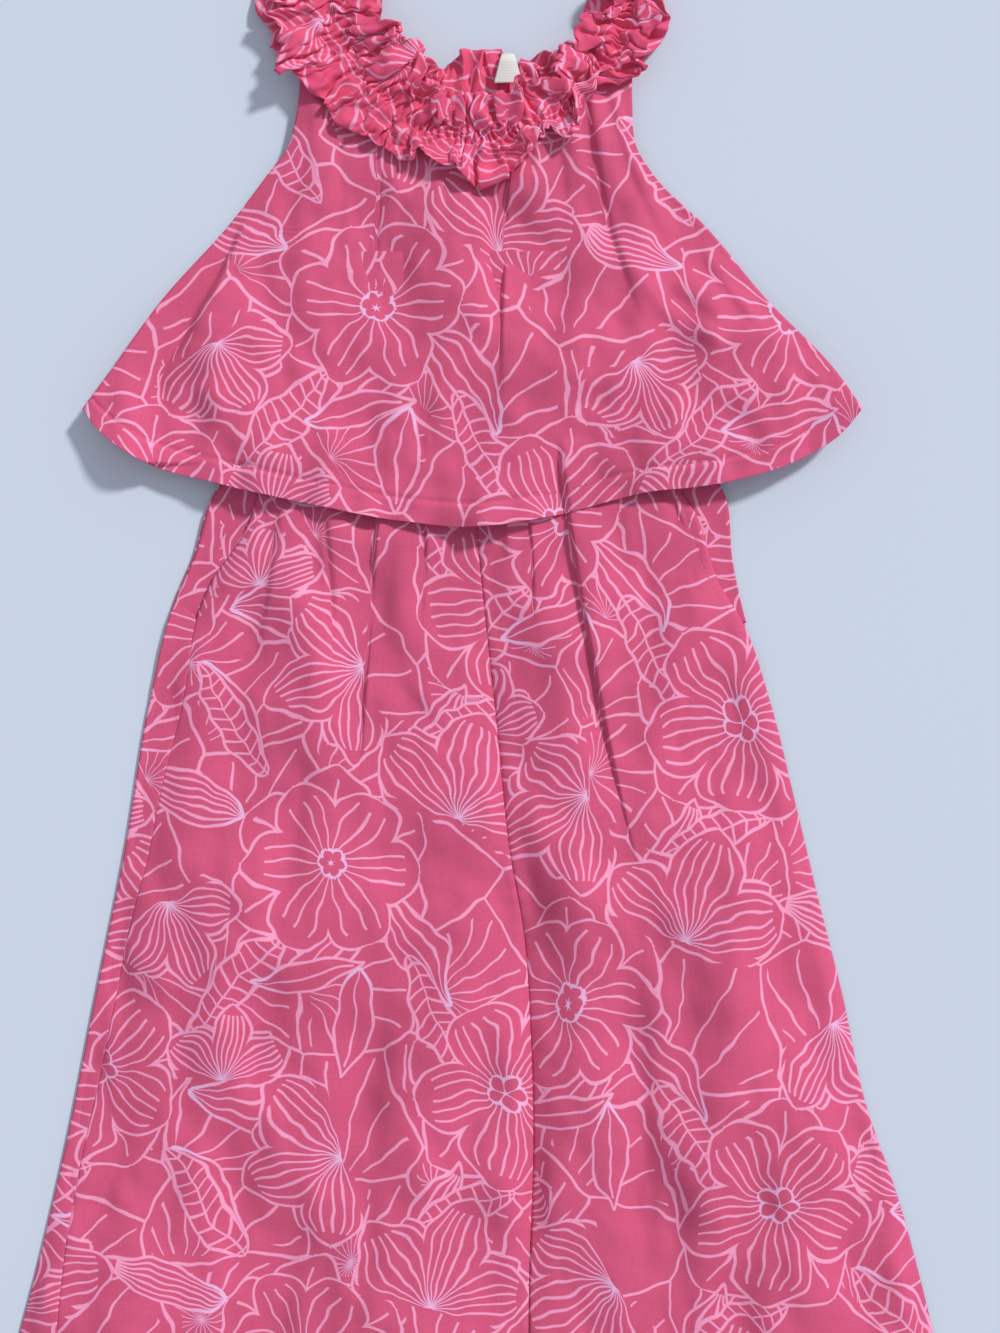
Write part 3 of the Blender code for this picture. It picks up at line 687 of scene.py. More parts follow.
def leg_top_z(x, y):
    """The upper surface of the legs: both fronts, and the part of the left back that comes round."""
    left_edge = x_on(LEG_LEFT_SEAM, y)
    left_edge = left_edge + (x_on(LEG_LEFT_EDGE, y) - left_edge) * smooth((MOUTH_LOW_Y - y) / 0.030)
    centre = x_on(CENTRE_SEAM, y)
    edge = np.where(x < centre, left_edge, x_on(LEG_RIGHT_SEAM, y))
    part = np.clip((x - edge) / (centre - edge), 0.0, 1.0)
    loft = (LEG_LOFT + LOWER_LOFT * smooth((0.065 - y) / 0.050)) * np.sin(pi * part) ** 0.6
    inner, outer = np.abs(x - centre), np.abs(x - edge)
    away = smooth(np.minimum(inner, outer) / 0.010)
    soft = crumple(x, y, *LEG_BROAD) * smooth((0.110 - y) / 0.060) \
        + crumple(x, y, *LEG_MIDDLE) + crumple(x, y, *LEG_FINE)
    pucker = PUCKER * np.sin(y * 2 * pi / PUCKER_PITCH + 3 * np.sin(y * 90)) * np.exp(-inner / 0.004)
    rise = np.clip(loft + folds(LEG_FOLDS, x, y) * away + soft * away, 0.0, None)
    above_hem = y - HEM_Y - LEG_HEM
    turned = HEM_THICK * smooth(-above_hem / 0.002) - HEM_GROOVE * np.exp(-(above_hem / 0.0024) ** 2)
    return leg_back_z(x, y) + LAYER * (1 + at_pocket(x, y)) + rise + pucker + turned \
        - CENTRE_DIP * seam_dip(inner)


SEAM = 0.00018                          # half the clearance at the centre seam
PARTING = 0.0004                        # how far the right leg lies from the left at the hem
OUTER_DIP = 0.00036                     # the fronts roll down this far at their outer seams
TUCK_UNDER = 0.0008                     # the cloth of one side goes this far under the other at a seam
STEP_UNDER = 0.0008                     # and lies this much lower there
ROWS_CLOSE = 1.15                       # rows lie closer towards the waist
inner_left = moved(CENTRE_SEAM, TUCK_UNDER)
inner_right = [(x + SEAM + PARTING * float(smooth((CROTCH_Y - y) / 0.25)), y) for x, y in CENTRE_SEAM]
for side, outer, inner, lay in (("left", LEG_LEFT_SEAM, inner_left, (0.020, 0.010, 3.0)),
                                ("right", LEG_RIGHT_SEAM, inner_right, (0.131, 0.077, -4.0))):
    sheet = leg_panel(outer, inner) if side == "left" else leg_panel(inner, outer)

    def front_form(u, v):
        x, y = sheet(crowded(LEG_PLEATS, sheet, u, v ** ROWS_CLOSE), v ** ROWS_CLOSE)
        under = smooth((x - x_on(CENTRE_SEAM, y)) / TUCK_UNDER + 0.2) if side == "left" else 0.0
        return x, y, leg_top_z(x, y) - OUTER_DIP * seam_dip(np.abs(x - x_on(outer, y))) - STEP_UNDER * under

    front = cloth("leg_front_" + side + "_cloth", 150, 220, front_form, lay, pleats=LEG_PLEATS)
    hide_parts("leg_front_" + side)

# the left back turns round the edge of the leg and meets the front in a seam on top
TURN = LAYER / 2                        # radius of the turn
LAP = 0.0012                            # how far it comes over the top beside the pocket
SEAM_FROM_Y, SEAM_OVER = 0.049, 0.013   # where it leaves the edge for the seam on top, and over what length
WRAP_PART = 0.32                        # share of the columns on top, then round the edge
TURN_PART = 0.42
JOIN_DIP = 0.0001                       # it rolls down this far at the seam
outer = moved(LEG_LEFT_EDGE, TURN)
sheet = leg_panel(outer, inner_left)
edge = curve(outer)


def left_back_form(u, v):
    x, y = sheet(np.clip((u - TURN_PART) / (1 - TURN_PART), 0, 1), v)
    z = leg_back_z(x, y)
    edge_x, edge_y = edge(v).T
    low = leg_back_z(edge_x, edge_y)
    angle = pi * np.clip((u - WRAP_PART) / (TURN_PART - WRAP_PART), 0, 1)
    turning = u < TURN_PART
    x = np.where(turning, edge_x - TURN * np.sin(angle), x)
    z = np.where(turning, low + TURN + TURN * np.cos(angle), z)
    y = np.where(turning, edge_y, y)
    below = smooth((SEAM_FROM_Y - edge_y) / SEAM_OVER)
    seam_x = x_on(LEG_LEFT_SEAM, edge_y)
    reach = edge_x + LAP + (seam_x + TUCK_UNDER - edge_x - LAP) * below
    on_top = u < WRAP_PART
    top_x = edge_x + (reach - edge_x) * (1 - np.clip(u / WRAP_PART, 0, 1)) ** 1.5
    past = top_x - seam_x
    joined = leg_top_z(top_x, edge_y) - JOIN_DIP * seam_dip(np.abs(past)) \
        - STEP_UNDER * smooth(past / TUCK_UNDER + 0.1)
    top_z = low + 2 * TURN + (joined - low - 2 * TURN) * below
    return np.where(on_top, top_x, x), y, np.where(on_top, top_z, z)


back = cloth("leg_back_left_cloth", 100, 170, left_back_form, (0.090, 0.150, 8.0))
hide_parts("leg_back_left")

RIGHT_INSET = 0.0008                    # the right back's outer edge lies this far inside the front's
sheet_right = leg_panel(inner_right, moved(LEG_RIGHT_EDGE, -RIGHT_INSET))
back = cloth("leg_back_right_cloth", 60, 120, on_plan(sheet_right, leg_back_z), (0.040, 0.060, -7.0))
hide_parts("leg_back_right")

# side pieces: from the waist to the low end of the mouth, tucked a little way under the front
TUCK = 0.007
LAP_RISE = 0.0006                       # the left one lies this much higher, over the lap of the back
HIP_SOFT = (0.014, 0.0006, 1.0, 2.0)    # its unevenness, as above
for side, edge_rows, mouth_rows, clear, sign in (
        ("left", LEG_LEFT_EDGE, LEG_LEFT_SEAM, 0.0008, -1),
        ("right", LEG_RIGHT_EDGE, LEG_RIGHT_SEAM, 0.0, 1)):

    def hip_form(u, v):
        y = WAIST_Y + (MOUTH_LOW_Y - WAIST_Y) * v
        edge_x = x_on(edge_rows, y) - sign * clear
        mouth_x = x_on(mouth_rows, y) - sign * TUCK
        x = edge_x + (mouth_x - edge_x) * u
        over_lap = (LAP_RISE if side == "left" else 0.0) * smooth(1 - (np.abs(x - edge_x) - LAP) / 0.002)
        return x, y, leg_back_z(x, y) + LAYER + over_lap + crumple(x, y, *HIP_SOFT) * np.sin(pi * u)

    hip = cloth("hip_" + side + "_cloth", 16, 50, hip_form, (0.05 * sign, 0.02, 12.0 * sign))
    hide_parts("hip_" + side)

# ---------------------------------------------------------------- the under-bodice
# A plain front and back of the same cotton, sewn to the trousers at the waist and into the neck. It is wholly
# under the popover, so the frame's own panels stay and take the cloth's finish.
for side in ("back", "front"):
    name = "bodice_" + side
    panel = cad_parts[name]
    panel.data.materials.clear()
    panel.data.materials.append(printed_cotton(name + "_cotton", (0.03, 0.10, 2.0), own_map=False))

# ---------------------------------------------------------------- the popover
# A loose A-line overlay, front and back, sewn together at the sides and gathered a little into the neck
# ruffle. Its hem is turned up once and stitched; its corners curl up from the table.
POPOVER_NECK = (
    (-0.086, 0.312), (-0.062, 0.315), (-0.049, 0.2985), (-0.034, 0.2845), (-0.0165, 0.276),
    (0.0035, 0.2745), (0.0235, 0.2785), (0.0435, 0.287), (0.0595, 0.3005), (0.07, 0.3165), (0.0795, 0.312))
BACK_NECK = (
    (-0.084, 0.312), (-0.064, 0.316), (-0.044, 0.304), (-0.02, 0.296), (0.0035, 0.2945),
    (0.027, 0.2965), (0.05, 0.3055), (0.069, 0.317), (0.0775, 0.312))
NECK_LIFT = 0.0038                      # the neck stands this much higher, on the ruffle behind it
HEM_BAND = 0.0118                       # depth of the turned hem
POPOVER_PLEATS = [Fold(*row) for row in (
    (0.019, 0.285, 0.0135, 0.135, -0.002, -0.0034, 0.0095, 0.0012, 0.0, 0.55, 0.008),
    (-0.0475, 0.29, -0.0535, 0.175, 0.0012, -0.0026, 0.011, 0.0023, 0.0, 0.55, 0.005),
    (0.056, 0.295, 0.089, 0.172, -0.005, -0.0032, 0.011, 0.0028, 0.0, 0.5, 0.004),
    (-0.112, 0.242, -0.16, 0.152, 0.006, 0.005, 0.0034, 0.017, 0.12, 0.4, 0.002))]
POPOVER_FOLDS = POPOVER_PLEATS + [Fold(*row) for row in (
    (0.003, 0.28, 0.004, 0.23, 0.0, -0.0017, 0.004, 0.0018, 0.0, 0.6),
    (0.0095, 0.278, 0.0085, 0.245, 0.0, 0.0011, 0.002, 0.0026, 0.0, 0.6),
    (0.028, 0.282, 0.03, 0.242, 0.0, -0.0013, 0.004, 0.0016, 0.0, 0.6),
    (0.048, 0.29, 0.064, 0.23, -0.001, 0.0014, 0.004, 0.004, 0.0, 0.6),
    (0.066, 0.3, 0.101, 0.215, -0.004, -0.0018, 0.006, 0.0028, 0.0, 0.5),
    (-0.038, 0.288, -0.041, 0.23, 0.0, 0.0013, 0.003, 0.004, 0.0, 0.6),
    (-0.062, 0.3, -0.07, 0.21, 0.001, -0.0018, 0.006, 0.0026, 0.0, 0.5),
    (-0.083, 0.28, -0.102, 0.215, 0.003, -0.0014, 0.005, 0.003, 0.0, 0.5),
    (0.105, 0.23, 0.148, 0.172, -0.002, -0.002, 0.007, 0.0034, 0.2, 0.4),
    (0.075, 0.22, 0.118, 0.17, -0.002, 0.0017, 0.004, 0.008, 0.2, 0.4),
    (0.148, 0.18, 0.175, 0.144, 0.0, -0.0016, 0.006, 0.004, 0.2, 0.3),
    (-0.013, 0.28, -0.013, 0.235, 0.0, -0.0015, 0.004, 0.0018, 0.0, 0.6),
    (0.04, 0.29, 0.048, 0.235, 0.0, -0.0018, 0.006, 0.0026, 0.0, 0.6),
    (-0.072, 0.295, -0.076, 0.23, 0.0, -0.0012, 0.007, 0.004, 0.0, 0.6),
    (-0.029, 0.282, -0.03, 0.24, 0.0, -0.0012, 0.004, 0.0024, 0.0, 0.6),
    (-0.1215, 0.238, -0.171, 0.156, 0.005, -0.0032, 0.009, 0.005, 0.12, 0.35),
    (-0.136, 0.21, -0.184, 0.148, 0.002, 0.0016, 0.005, 0.006, 0.2, 0.3),
    (-0.115, 0.22, -0.113, 0.208, 0.0, 0.0014, 0.003, 0.006, 0.3, 0.4),
    (0.09, 0.205, 0.13, 0.175, 0.002, -0.0015, 0.006, 0.0035, 0.3, 0.4),
    (0.108, 0.183, 0.127, 0.17, 0.001, 0.0014, 0.003, 0.005, 0.3, 0.4),
    (0.115, 0.225, 0.166, 0.155, -0.003, 0.0018, 0.01, 0.01, 0.3, 0.4),
    (0.13, 0.16, 0.145, 0.115, 0.0, 0.0022, 0.012, 0.012, 0.3, 0.2),
    (-0.085, 0.18, -0.1, 0.102, 0.0, 0.0022, 0.013, 0.014, 0.3, 0.2),
    (-0.025, 0.17, -0.022, 0.092, 0.0, -0.0016, 0.012, 0.012, 0.3, 0.2),
    (0.05, 0.16, 0.056, 0.096, 0.0, -0.0018, 0.012, 0.011, 0.3, 0.2),
    (-0.142, 0.15, -0.122, 0.112, 0.0, -0.0018, 0.011, 0.008, 0.3, 0.2))]

LEFT_LIFT, RIGHT_LIFT = 0.0085, 0.0112  # how far the corners curl up from the table
LEFT_CURL, RIGHT_CURL = 0.040, 0.085    # and how far in from the sides this begins
POPOVER_LOFT = 0.0042                   # how high the front stands over the back, near the neck
LOWER_RISE = 0.0046                     # and how much more at its hem, over the trousers
TURNED = 0.00035                        # the turned hem is this much thicker
POPOVER_GROOVE = 0.0008                 # its stitches sink in this far
RIPPLE, RIPPLE_PITCH = 0.0005, 0.021    # the low waves along its edge
OVER_LEGS = 0.0009                      # the front stays this far above the trousers
POPOVER_BROAD = (0.046, 0.0080, 1.5, 2.7)   # its soft unevenness, in three sizes, as on the legs
POPOVER_MIDDLE = (0.024, 0.0048, 1.5, 6.3)
POPOVER_FINE = (0.011, 0.0014, 1.3, 9.1)


def corner_lift(x, y):
    """The popover's side edges curl up from the table, most at the corners of the hem and on its right."""
    edge = np.where(x > 0, x_on(POPOVER_RIGHT, y), -x_on(POPOVER_LEFT, y))
    near_edge = smooth(1.0 - (edge - np.abs(x)) / np.where(x > 0, RIGHT_CURL, LEFT_CURL))
    return np.where(x > 0, RIGHT_LIFT, LEFT_LIFT) * near_edge * smooth((0.250 - y) / 0.110)


def popover_back_z(x, y):
    return FLOOR + corner_lift(x, y) + NECK_LIFT * smooth((y - 0.230) / 0.040) + under_wave(x, y)


def popover_front_z(x, y, u):
    """The front of the popover; u is how far across its panel a place lies, from 0 to 1."""
    to_side = np.minimum(u, 1 - u)
    loft = POPOVER_LOFT + LOWER_RISE * smooth((0.230 - y) / 0.120)
    lift = loft * smooth(to_side / 0.11) * (1 - 0.80 * smooth((y - 0.245) / 0.030))
    above_hem = y - y_on(POPOVER_HEM, x)
    band = TURNED * smooth((HEM_BAND - above_hem) / 0.0008) \
        - POPOVER_GROOVE * np.exp(-((above_hem - HEM_BAND) / 0.0011) ** 2)
    ripple = RIPPLE * np.sin(x * 2 * pi / RIPPLE_PITCH + 2.4 * np.sin(x * 31)) \
        * np.exp(-np.clip(above_hem, 0, None) / 0.010)
    soft = crumple(x, y, *POPOVER_BROAD) * smooth((0.262 - y) / 0.050) \
        + crumple(x, y, *POPOVER_MIDDLE) + crumple(x, y, *POPOVER_FINE)
    away = smooth(to_side / 0.05)
    z = popover_back_z(x, y) + LAYER + lift + band \
        + np.clip((folds(POPOVER_FOLDS, x, y) + soft) * away + ripple, -0.8 * lift - 0.0004, None)
    over_legs = smooth((WAIST_Y + 0.016 - y) / 0.014) * smooth((0.146 - np.abs(x)) / 0.010)
    return z + over_legs * np.clip(leg_top_z(x, y) + OVER_LEGS - z, 0.0, None)


sheet_front = patch(POPOVER_NECK, POPOVER_HEM, POPOVER_LEFT, POPOVER_RIGHT)


def popover_front_form(u, v):
    v = 1 - (1 - v) ** 1.35                             # rows lie closer towards the hem
    u = crowded(POPOVER_PLEATS, sheet_front, u, v)
    x, y = sheet_front(u, v)
    return x, y, popover_front_z(x, y, u)


front = cloth("popover_front_cloth", 216, 126, popover_front_form, (0.010, -0.030, 2.0),
              pleats=POPOVER_PLEATS)
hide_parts("popover_front")

INSET = 0.0020                          # the back lies this far inside the front
back_hem = [(x * (1 - INSET / 0.19), y + 2 * INSET) for x, y in POPOVER_HEM]
back_left = moved(POPOVER_LEFT[:-1], INSET) + [back_hem[0]]
back_right = moved(POPOVER_RIGHT[:-1], -INSET) + [back_hem[-1]]
sheet_back = patch(BACK_NECK, back_hem, back_left, back_right)
back = cloth("popover_back_cloth", 80, 60, on_plan(sheet_back, popover_back_z), (0.070, 0.110, 5.0))
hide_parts("popover_back")

# ---------------------------------------------------------------- the neck ruffle
# One long strip of the cotton with both edges finished, gathered on rows of elastic shirring along its middle
# and sewn round the neck, so that a frill stands up into the neck and another falls over the popover.
SHOULDER_Y = 0.3665
RUFFLE_PAINTED_BOUNCE = (0.790, 0.090, 0.208, 1.0)   # the ruffle's ground, redder and brighter than the cloth's own coral: painted bounce light, as light goes from fold to fold
# places along the shirring, and how wide the frill is there on its neck side and on its outer side
FRONT_RUFFLE = (
    (-0.0755, SHOULDER_Y, 0.024, 0.029),
    (-0.0735, 0.3475, 0.0315, 0.037),
    (-0.0685, 0.3315, 0.033, 0.037),
    (-0.0605, 0.3165, 0.034, 0.034),
    (-0.049, 0.3015, 0.033, 0.024),
    (-0.034, 0.2875, 0.029, 0.024),
    (-0.0165, 0.278, 0.028, 0.022),
    (0.0035, 0.276, 0.026, 0.025),
    (0.0235, 0.28, 0.027, 0.022),
    (0.0435, 0.289, 0.036, 0.024),
    (0.0595, 0.303, 0.034, 0.024),
    (0.0695, 0.32, 0.029, 0.023),
    (0.0765, 0.34, 0.029, 0.026),
    (0.0795, SHOULDER_Y, 0.031, 0.021))
BACK_RUFFLE = (
    (-0.0755, SHOULDER_Y, 0.027, 0.026),
    (-0.073, 0.347, 0.03, 0.033),
    (-0.066, 0.33, 0.027, 0.03),
    (-0.056, 0.316, 0.023, 0.024),
    (-0.039, 0.304, 0.02, 0.018),
    (-0.018, 0.298, 0.02, 0.017),
    (0.0035, 0.2965, 0.029, 0.017),
    (0.025, 0.2985, 0.023, 0.017),
    (0.046, 0.306, 0.022, 0.018),
    (0.062, 0.317, 0.02, 0.019),
    (0.072, 0.331, 0.018, 0.02),
    (0.077, 0.348, 0.018, 0.022),
    (0.0795, SHOULDER_Y, 0.018, 0.019))


def gathered(table, folds_along, wave, base, loft, seed):
    """A strip gathered on a line of shirring: fine folds there, which run together towards both edges."""
    spine = curve(table)
    rng = np.random.default_rng(seed)
    knots = np.arange(folds_along + 1)
    places = np.sort((knots + rng.uniform(-0.32, 0.32, len(knots))).clip(0, folds_along)) / folds_along
    sizes = rng.uniform(0.75, 1.25, folds_along + 1)
    leans = rng.uniform(-1.0, 1.0, folds_along + 1)
    longer = rng.uniform(0.84, 1.14, folds_along + 1)

    def form(u, v):
        at = spine(u)
        ahead = spine(np.clip(u + 0.004, 0, 1))[:, :2] - spine(np.clip(u - 0.004, 0, 1))[:, :2]
        run = ahead / np.linalg.norm(ahead, axis=1)[:, None]
        across = np.stack((run[:, 1], -run[:, 0]), axis=1)
        side = 2.0 * v - 1.0                            # -1 at the neck edge, 0 on the shirring, 1 outside
        phase = np.interp(u, places, knots)
        reach = np.where(side > 0, side * at[:, 3], side * at[:, 2]) * np.interp(phase, knots, longer)
        size = np.interp(phase, knots, sizes)
        lean = np.interp(phase, knots, leans)
        far = np.abs(side)
        opened = smooth(far / 0.55)
        coarse = 2 * pi * phase + 0.9 * lean * side
        fine = 4 * pi * phase + 0.6 * lean
        swing = opened * size * np.sin(coarse) + (1 - opened) * 0.5 * np.sin(fine)
        shift = 0.0016 * (opened * lean * np.cos(coarse) + (1 - opened) * 0.3 * np.cos(fine))
        height = base + loft * far ** 0.8 + wave * swing
        x = at[:, 0] + across[:, 0] * reach + run[:, 0] * shift
        y = at[:, 1] + across[:, 1] * reach + run[:, 1] * shift
        return x, y, height

    return form


# the gathered strip falls into place by itself: cloth, at ten times its size, over a form of what lies below
SIM_SCALE = 10.0
FORM_MIDDLE_Y = 0.325
FORM_WIDE, FORM_LONG = 0.30, 0.19
LIMP_COTTON = {"quality": 6, "mass": 0.25, "tension_stiffness": 20.0, "compression_stiffness": 20.0,
               "shear_stiffness": 8.0, "bending_stiffness": 0.35, "air_damping": 2.0,
               "vertex_group_mass": "sewn"}
CONTACT = {"collision_quality": 3, "distance_min": 0.006, "use_self_collision": True,
           "self_distance_min": 0.007, "self_friction": 4.0}


def settled(shape, columns, rows, under, steps):
    """The places of a gathered strip's grid after it has fallen onto the form, with its shirring held."""

    def enlarged_strip(u, v):
        return SIM_SCALE * np.stack(shape(u, v))

    def enlarged_form(u, v):
        x, y = (u - 0.5) * FORM_WIDE, FORM_MIDDLE_Y + (0.5 - v) * FORM_LONG
        return SIM_SCALE * np.stack((x, y, under(x, y)))

    strip, _, v, _ = laid_grid("strip", columns, rows, enlarged_strip)
    held = [int(i) for i in np.nonzero(np.abs(2 * v - 1) < 1.2 / rows)[0]]
    strip.vertex_groups.new(name="sewn").add(held, 1.0, "REPLACE")
    below, *_ = laid_grid("form", 80, 60, enlarged_form)
    below.modifiers.new("hit", "COLLISION")
    below.collision.thickness_outer = 0.006
    below.collision.cloth_friction = 12.0
    fall = strip.modifiers.new("fall", "CLOTH")
    for settings, values in ((fall.settings, LIMP_COTTON), (fall.collision_settings, CONTACT)):
        for name, value in values.items():
            setattr(settings, name, value)
    fall.point_cache.frame_end = steps
    for frame_number in range(1, steps + 1):
        bpy.context.scene.frame_set(frame_number)
    after = strip.evaluated_get(bpy.context.evaluated_depsgraph_get())
    co = np.zeros(len(v) * 3)
    after.data.vertices.foreach_get("co", co)
    bpy.data.objects.remove(strip)
    bpy.data.objects.remove(below)
    return co.reshape(-1, 3) / SIM_SCALE


# the small creases of a pressed ruffle, to the side, along and up: size, height, length to width and a seed
CREASED_X = (0.0095, 0.0026, 1.0, 7.7)
CREASED_Y = (0.0085, 0.0026, 1.0, 5.2)
CREASED_Z = (0.0072, 0.0024, 1.0, 3.1)


def fallen(shape, columns, rows, under, steps, top):
    """The same strip after its fall.

    Its folds are then pressed down, as by a hand, to no more than top above what they lie on.
    """
    x, y, z = settled(shape, columns, rows, under, steps).T
    low = under(x, y)
    pressed = top * np.tanh((z - low) / top) + crumple(x, y, *CREASED_Z)
    places = (x + crumple(x, y, *CREASED_X), y + crumple(x, y, *CREASED_Y), low + np.clip(pressed, 0.0, None))
    return lambda u, v: places


FRILL_CLEAR = 0.0008                    # the outer frill's middle lies this far above the popover's
BACK_CLEAR = 0.0006                     # and the back half this far above the table


def popover_surface(x, y):
    """What the outer frill falls onto: the popover's front, and a slope up beyond its sides."""
    left, right = x_on(POPOVER_LEFT, y), x_on(POPOVER_RIGHT, y)
    u = (x - left) / (right - left)
    z = popover_front_z(x, y, np.clip(u, 0.05, 0.95))
    outside = np.maximum(left - x, x - right)
    return z + FRILL_CLEAR + 0.0060 * smooth(outside / 0.030)


def under_back(x, y):
    return np.full_like(x, BACK_CLEAR)


def under_front(x, y):
    into_neck = smooth((y - y_on(POPOVER_NECK, np.clip(x, -0.06, 0.065)) + 0.004) / 0.03) * (np.abs(x) < 0.07)
    return popover_surface(x, y) + 0.0015 * into_neck


def ruffle_half(name, shape, grid, under, steps, top, lay, cut):
    """Half of the ruffle: the shape falls onto what is under it, is pressed to top, and is rounded off."""
    # its ground colour is painted bounce light: a redder, brighter copy of the cloth's own coral
    piece = cloth(name, *grid, fallen(shape, *grid, under, steps, top), lay,
                  cut=lambda u, v: (u * cut[0], v * cut[1]), ground=RUFFLE_PAINTED_BOUNCE)
    round_off = piece.modifiers.new("round off", "SUBSURF")
    round_off.levels = 1
    round_off.render_levels = 1
    piece.modifiers.move(1, 0)
    return piece


BACK_CUT = (0.400, 0.046)
back_shape = gathered(BACK_RUFFLE, folds_along=29, wave=0.0031, base=FLOOR + 0.0036, loft=0.0006, seed=5)
back = ruffle_half("ruffle_back_cloth", back_shape, (190, 16), under_back, steps=30, top=0.0125,
                   lay=(0.02, 0.05, 0.0), cut=BACK_CUT)
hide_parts("ruffle_back")

FRONT_CUT = (0.400, 0.062)
front_shape = gathered(FRONT_RUFFLE, folds_along=40, wave=0.0040, base=0.0100, loft=0.0030, seed=11)
front = ruffle_half("ruffle_front_cloth", front_shape, (340, 24), under_front, steps=40, top=0.0080,
                    lay=(0.07, 0.02, 0.0), cut=FRONT_CUT)
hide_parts("ruffle_front")

# ---------------------------------------------------------------- the neck label
# A blank woven tape, folded once and sewn by its top into the back neck. It is cream satin-weave polyester
# with a faint cross rib, and nothing is woven or printed on it.
TAPE = 0.0004                           # thickness of the tape
RAISED = 0.0007                         # it lies on the highest folds below it
NARROWED = 0.55                         # its sides turn under between them towards its upper end
DARK_CREAM = (0.74, 0.73, 0.69, 1.0)
LIGHT_CREAM = (0.82, 0.81, 0.77, 1.0)
low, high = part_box("label")
centre = (low + high) / 2
folds_below = np.array([vert.co for vert in back.data.vertices])
on_label = (np.abs(folds_below[:, 0] - centre.x) < 0.009) & (np.abs(folds_below[:, 1] - centre.y) < 0.010)
rest_z = folds_below[on_label, 2].max() + RAISED


def label_form(u, v):
    up = 1 - v
    curl = 0.0006 * v ** 2 + 0.0005 * np.sin(pi * u) - 0.0024 * smooth((up - 0.70) / 0.30)
    across = (high.x - low.x) * (u - 0.5) * (1 - NARROWED * up)
    return centre.x + across, low.y + (high.y - low.y) * up, rest_z + curl


label, *_ = laid_grid("label_tape", 16, 20, label_form)
label.data.shade_smooth()
give_wall(label, TAPE)
tape, tree, shader = new_finish("label_tape", Roughness=0.55)
rib = add(tree, "TexWave", {"Scale": 400.0, "Vector": add(tree, "TexCoord").outputs["Object"]},
          bands_direction="Y").outputs["Fac"]
tree.links.new(mixed(tree, rib, DARK_CREAM, LIGHT_CREAM), shader["Base Color"])
bumped(tree, shader, rib, Distance=0.0001)
label.data.materials.append(tape)
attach(label, "root")
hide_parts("label")

# ---------------------------------------------------------------- the stitching
# Rows of lockstitch in matching thread: along the popover's turned hem, beside both pocket mouths and along
# the hems of the legs. Each stitch that shows is a short thread pressed a little into the cloth.
STITCH = 0.0021                         # one stitch, end to end
STITCH_PITCH = 0.0030                   # one stitch to the next
STITCH_HALF = 0.00026                   # half the width of the thread
ON_TOP = WALL / 2 + 0.00005             # the thread's middle, above the middle of the cloth
DARK_THREAD = (0.600, 0.085, 0.190, 1.0)
LIGHT_THREAD = (0.740, 0.150, 0.290, 1.0)
thread, tree, shader = new_finish("thread", Roughness=0.55)
twist = add(tree, "TexNoise", {"Scale": 900.0, "Vector": add(tree, "TexCoord").outputs["Object"]})
tone = Field(tree, twist.outputs["Fac"]).ramp(0.3, 0.7)
tree.links.new(mixed(tree, tone, DARK_THREAD, LIGHT_THREAD), shader["Base Color"])


def stitches(name, x, y, z):
    """Short threads one after another along a line of places on the cloth."""
    line = np.stack((x, y, z), axis=1)
    at = np.concatenate(([0.0], np.cumsum(np.linalg.norm(np.diff(line, axis=0), axis=1))))
    shape = Matrix.Diagonal((STITCH / 2, STITCH_HALF, STITCH_HALF * 0.7, 1.0))
    bm = bmesh.new()
    for start in np.arange(STITCH_PITCH / 2, at[-1] - STITCH_PITCH, STITCH_PITCH):
        head, tail = (Vector([np.interp(start + part, at, line[:, i]) for i in range(3)])
                      for part in (0.0, STITCH))
        turn = (tail - head).to_track_quat("X", "Z").to_matrix().to_4x4()
        place = Matrix.Translation((head + tail) / 2) @ turn @ shape
        bmesh.ops.create_icosphere(bm, subdivisions=1, radius=1.0, matrix=place)
    row = in_scene(name, bm)
    row.data.materials.append(thread)
    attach(row, "root")


across = np.linspace(0.02, 0.98, 260)
low_v = np.linspace(0.80, 1.0, 80)
grid_u, grid_v = np.meshgrid(across, low_v)
x, y = sheet_front(grid_u.ravel(), grid_v.ravel())
above = (y - y_on(POPOVER_HEM, x)).reshape(grid_u.shape)
at_v = np.array([np.interp(HEM_BAND, above[::-1, i], low_v[::-1]) for i in range(len(across))])
x, y = sheet_front(across, at_v)
stitches("stitches_popover_hem", x, y, popover_front_z(x, y, across) + ON_TOP + 0.0002)

BESIDE_MOUTH = 0.0042
y = np.linspace(WAIST_Y - 0.006, MOUTH_LOW_Y, 60)
for side, mouth, sign in (("left", LEG_LEFT_SEAM, 1), ("right", LEG_RIGHT_SEAM, -1)):
    x = x_on(mouth, y) + sign * BESIDE_MOUTH
    stitches("stitches_pocket_" + side, x, y, leg_top_z(x, y) + ON_TOP)

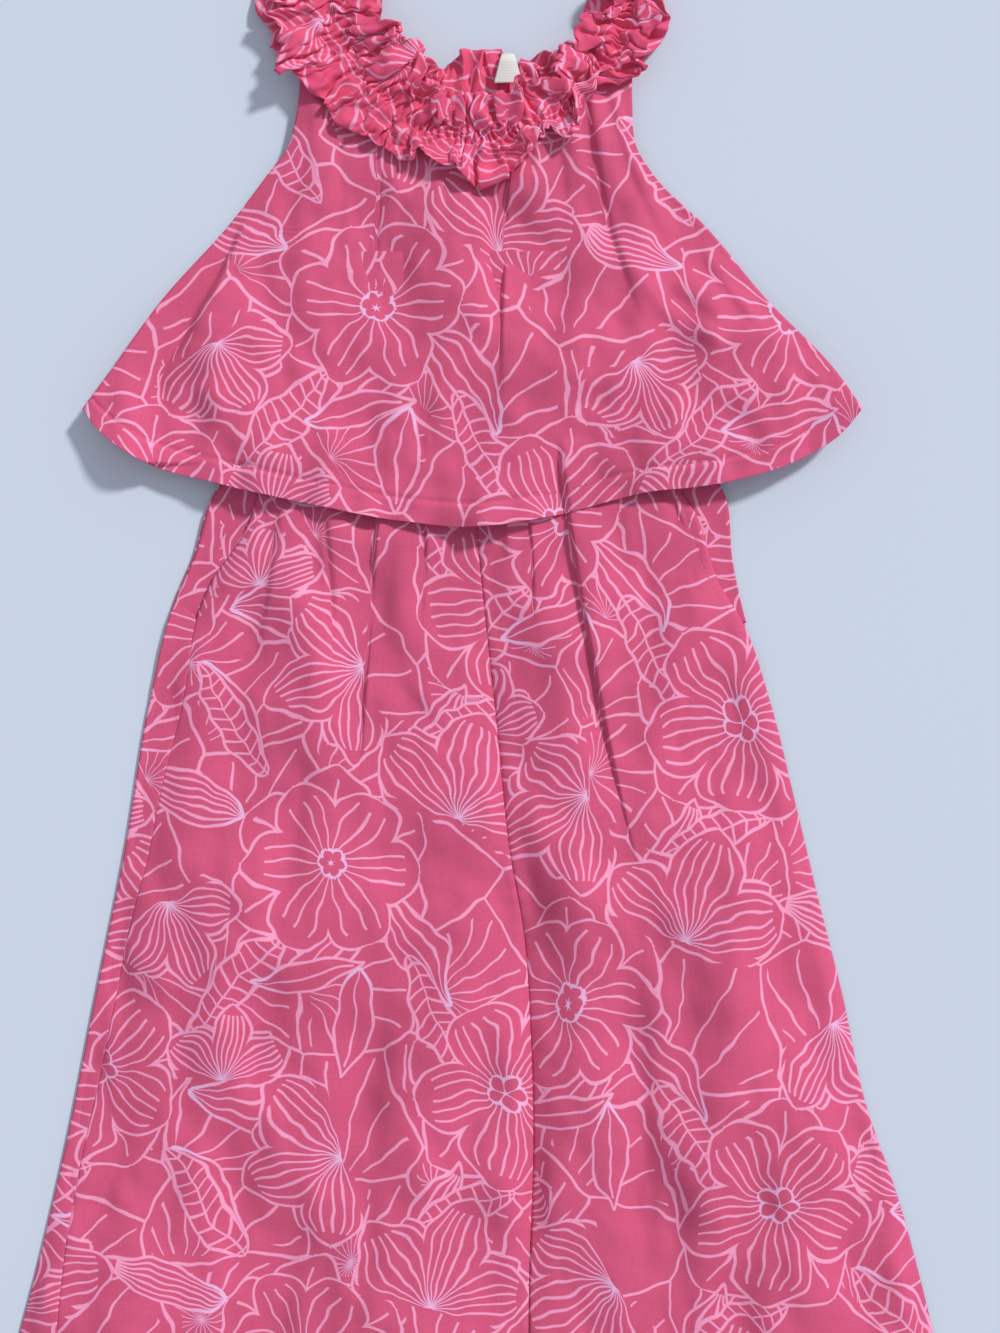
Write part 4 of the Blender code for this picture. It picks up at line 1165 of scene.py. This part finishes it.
hem_y = HEM_Y + LEG_HEM
for side, from_seam, to_seam in (("left", LEG_LEFT_SEAM, CENTRE_SEAM),
                                 ("right", CENTRE_SEAM, LEG_RIGHT_SEAM)):
    x = np.linspace(x_on(from_seam, hem_y) + 0.004, x_on(to_seam, hem_y) - 0.004, 200)
    y = np.full_like(x, hem_y)
    stitches("stitches_hem_" + side, x, y, leg_top_z(x, y) + ON_TOP)

# ---------------------------------------------------------------- floor, camera and light
# A plain pale floor under the garment, a camera straight above it, one soft lamp from the upper right and an
# even pale surround.
bm = bmesh.new()
bmesh.ops.create_grid(bm, x_segments=1, y_segments=1, size=6.0)
floor = in_scene("floor", bm)
floor.data.transform(Matrix.Translation((0.0, 0.0, -0.0002)))
paint, *_ = new_finish("floor", Base_Color=(0.635, 0.715, 0.845, 1.0), Roughness=0.75)
floor.data.materials.append(paint)
floor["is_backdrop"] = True

VIEW_LONG = 0.6665                      # the long side of the view, on the garment
CAMERA_HEIGHT = 0.90
SENSOR = 36.0
camera = bpy.data.objects.new("camera", bpy.data.cameras.new("camera"))
camera.location = (0.0135, 0.01425, CAMERA_HEIGHT)
camera.data.sensor_width = SENSOR
camera.data.lens = SENSOR * (CAMERA_HEIGHT - 0.004) / VIEW_LONG
camera.data.clip_start = 0.01
bpy.context.scene.collection.objects.link(camera)
bpy.context.scene.camera = camera

lamp = bpy.data.objects.new("key", bpy.data.lights.new("key", "SUN"))
lamp.data.angle = radians(7.0)
lamp.data.energy = 2.56
lamp.data.color = (1.0, 0.975, 0.94)
lamp.rotation_euler = Vector((0.80, 0.76, 0.80)).to_track_quat("Z", "Y").to_euler()
bpy.context.scene.collection.objects.link(lamp)

world = bpy.data.worlds.new("studio")
bpy.context.scene.world = world
world.use_nodes = True
sky = world.node_tree.nodes["Background"]
sky.inputs["Color"].default_value = (0.90, 0.93, 1.0, 1.0)
sky.inputs["Strength"].default_value = 0.48
bpy.context.scene.view_settings.view_transform = "Standard"

sizes = {"cad": [list(map(float, corner)) for corner in cad_box],
         "visual": [list(map(float, corner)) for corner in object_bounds()]}
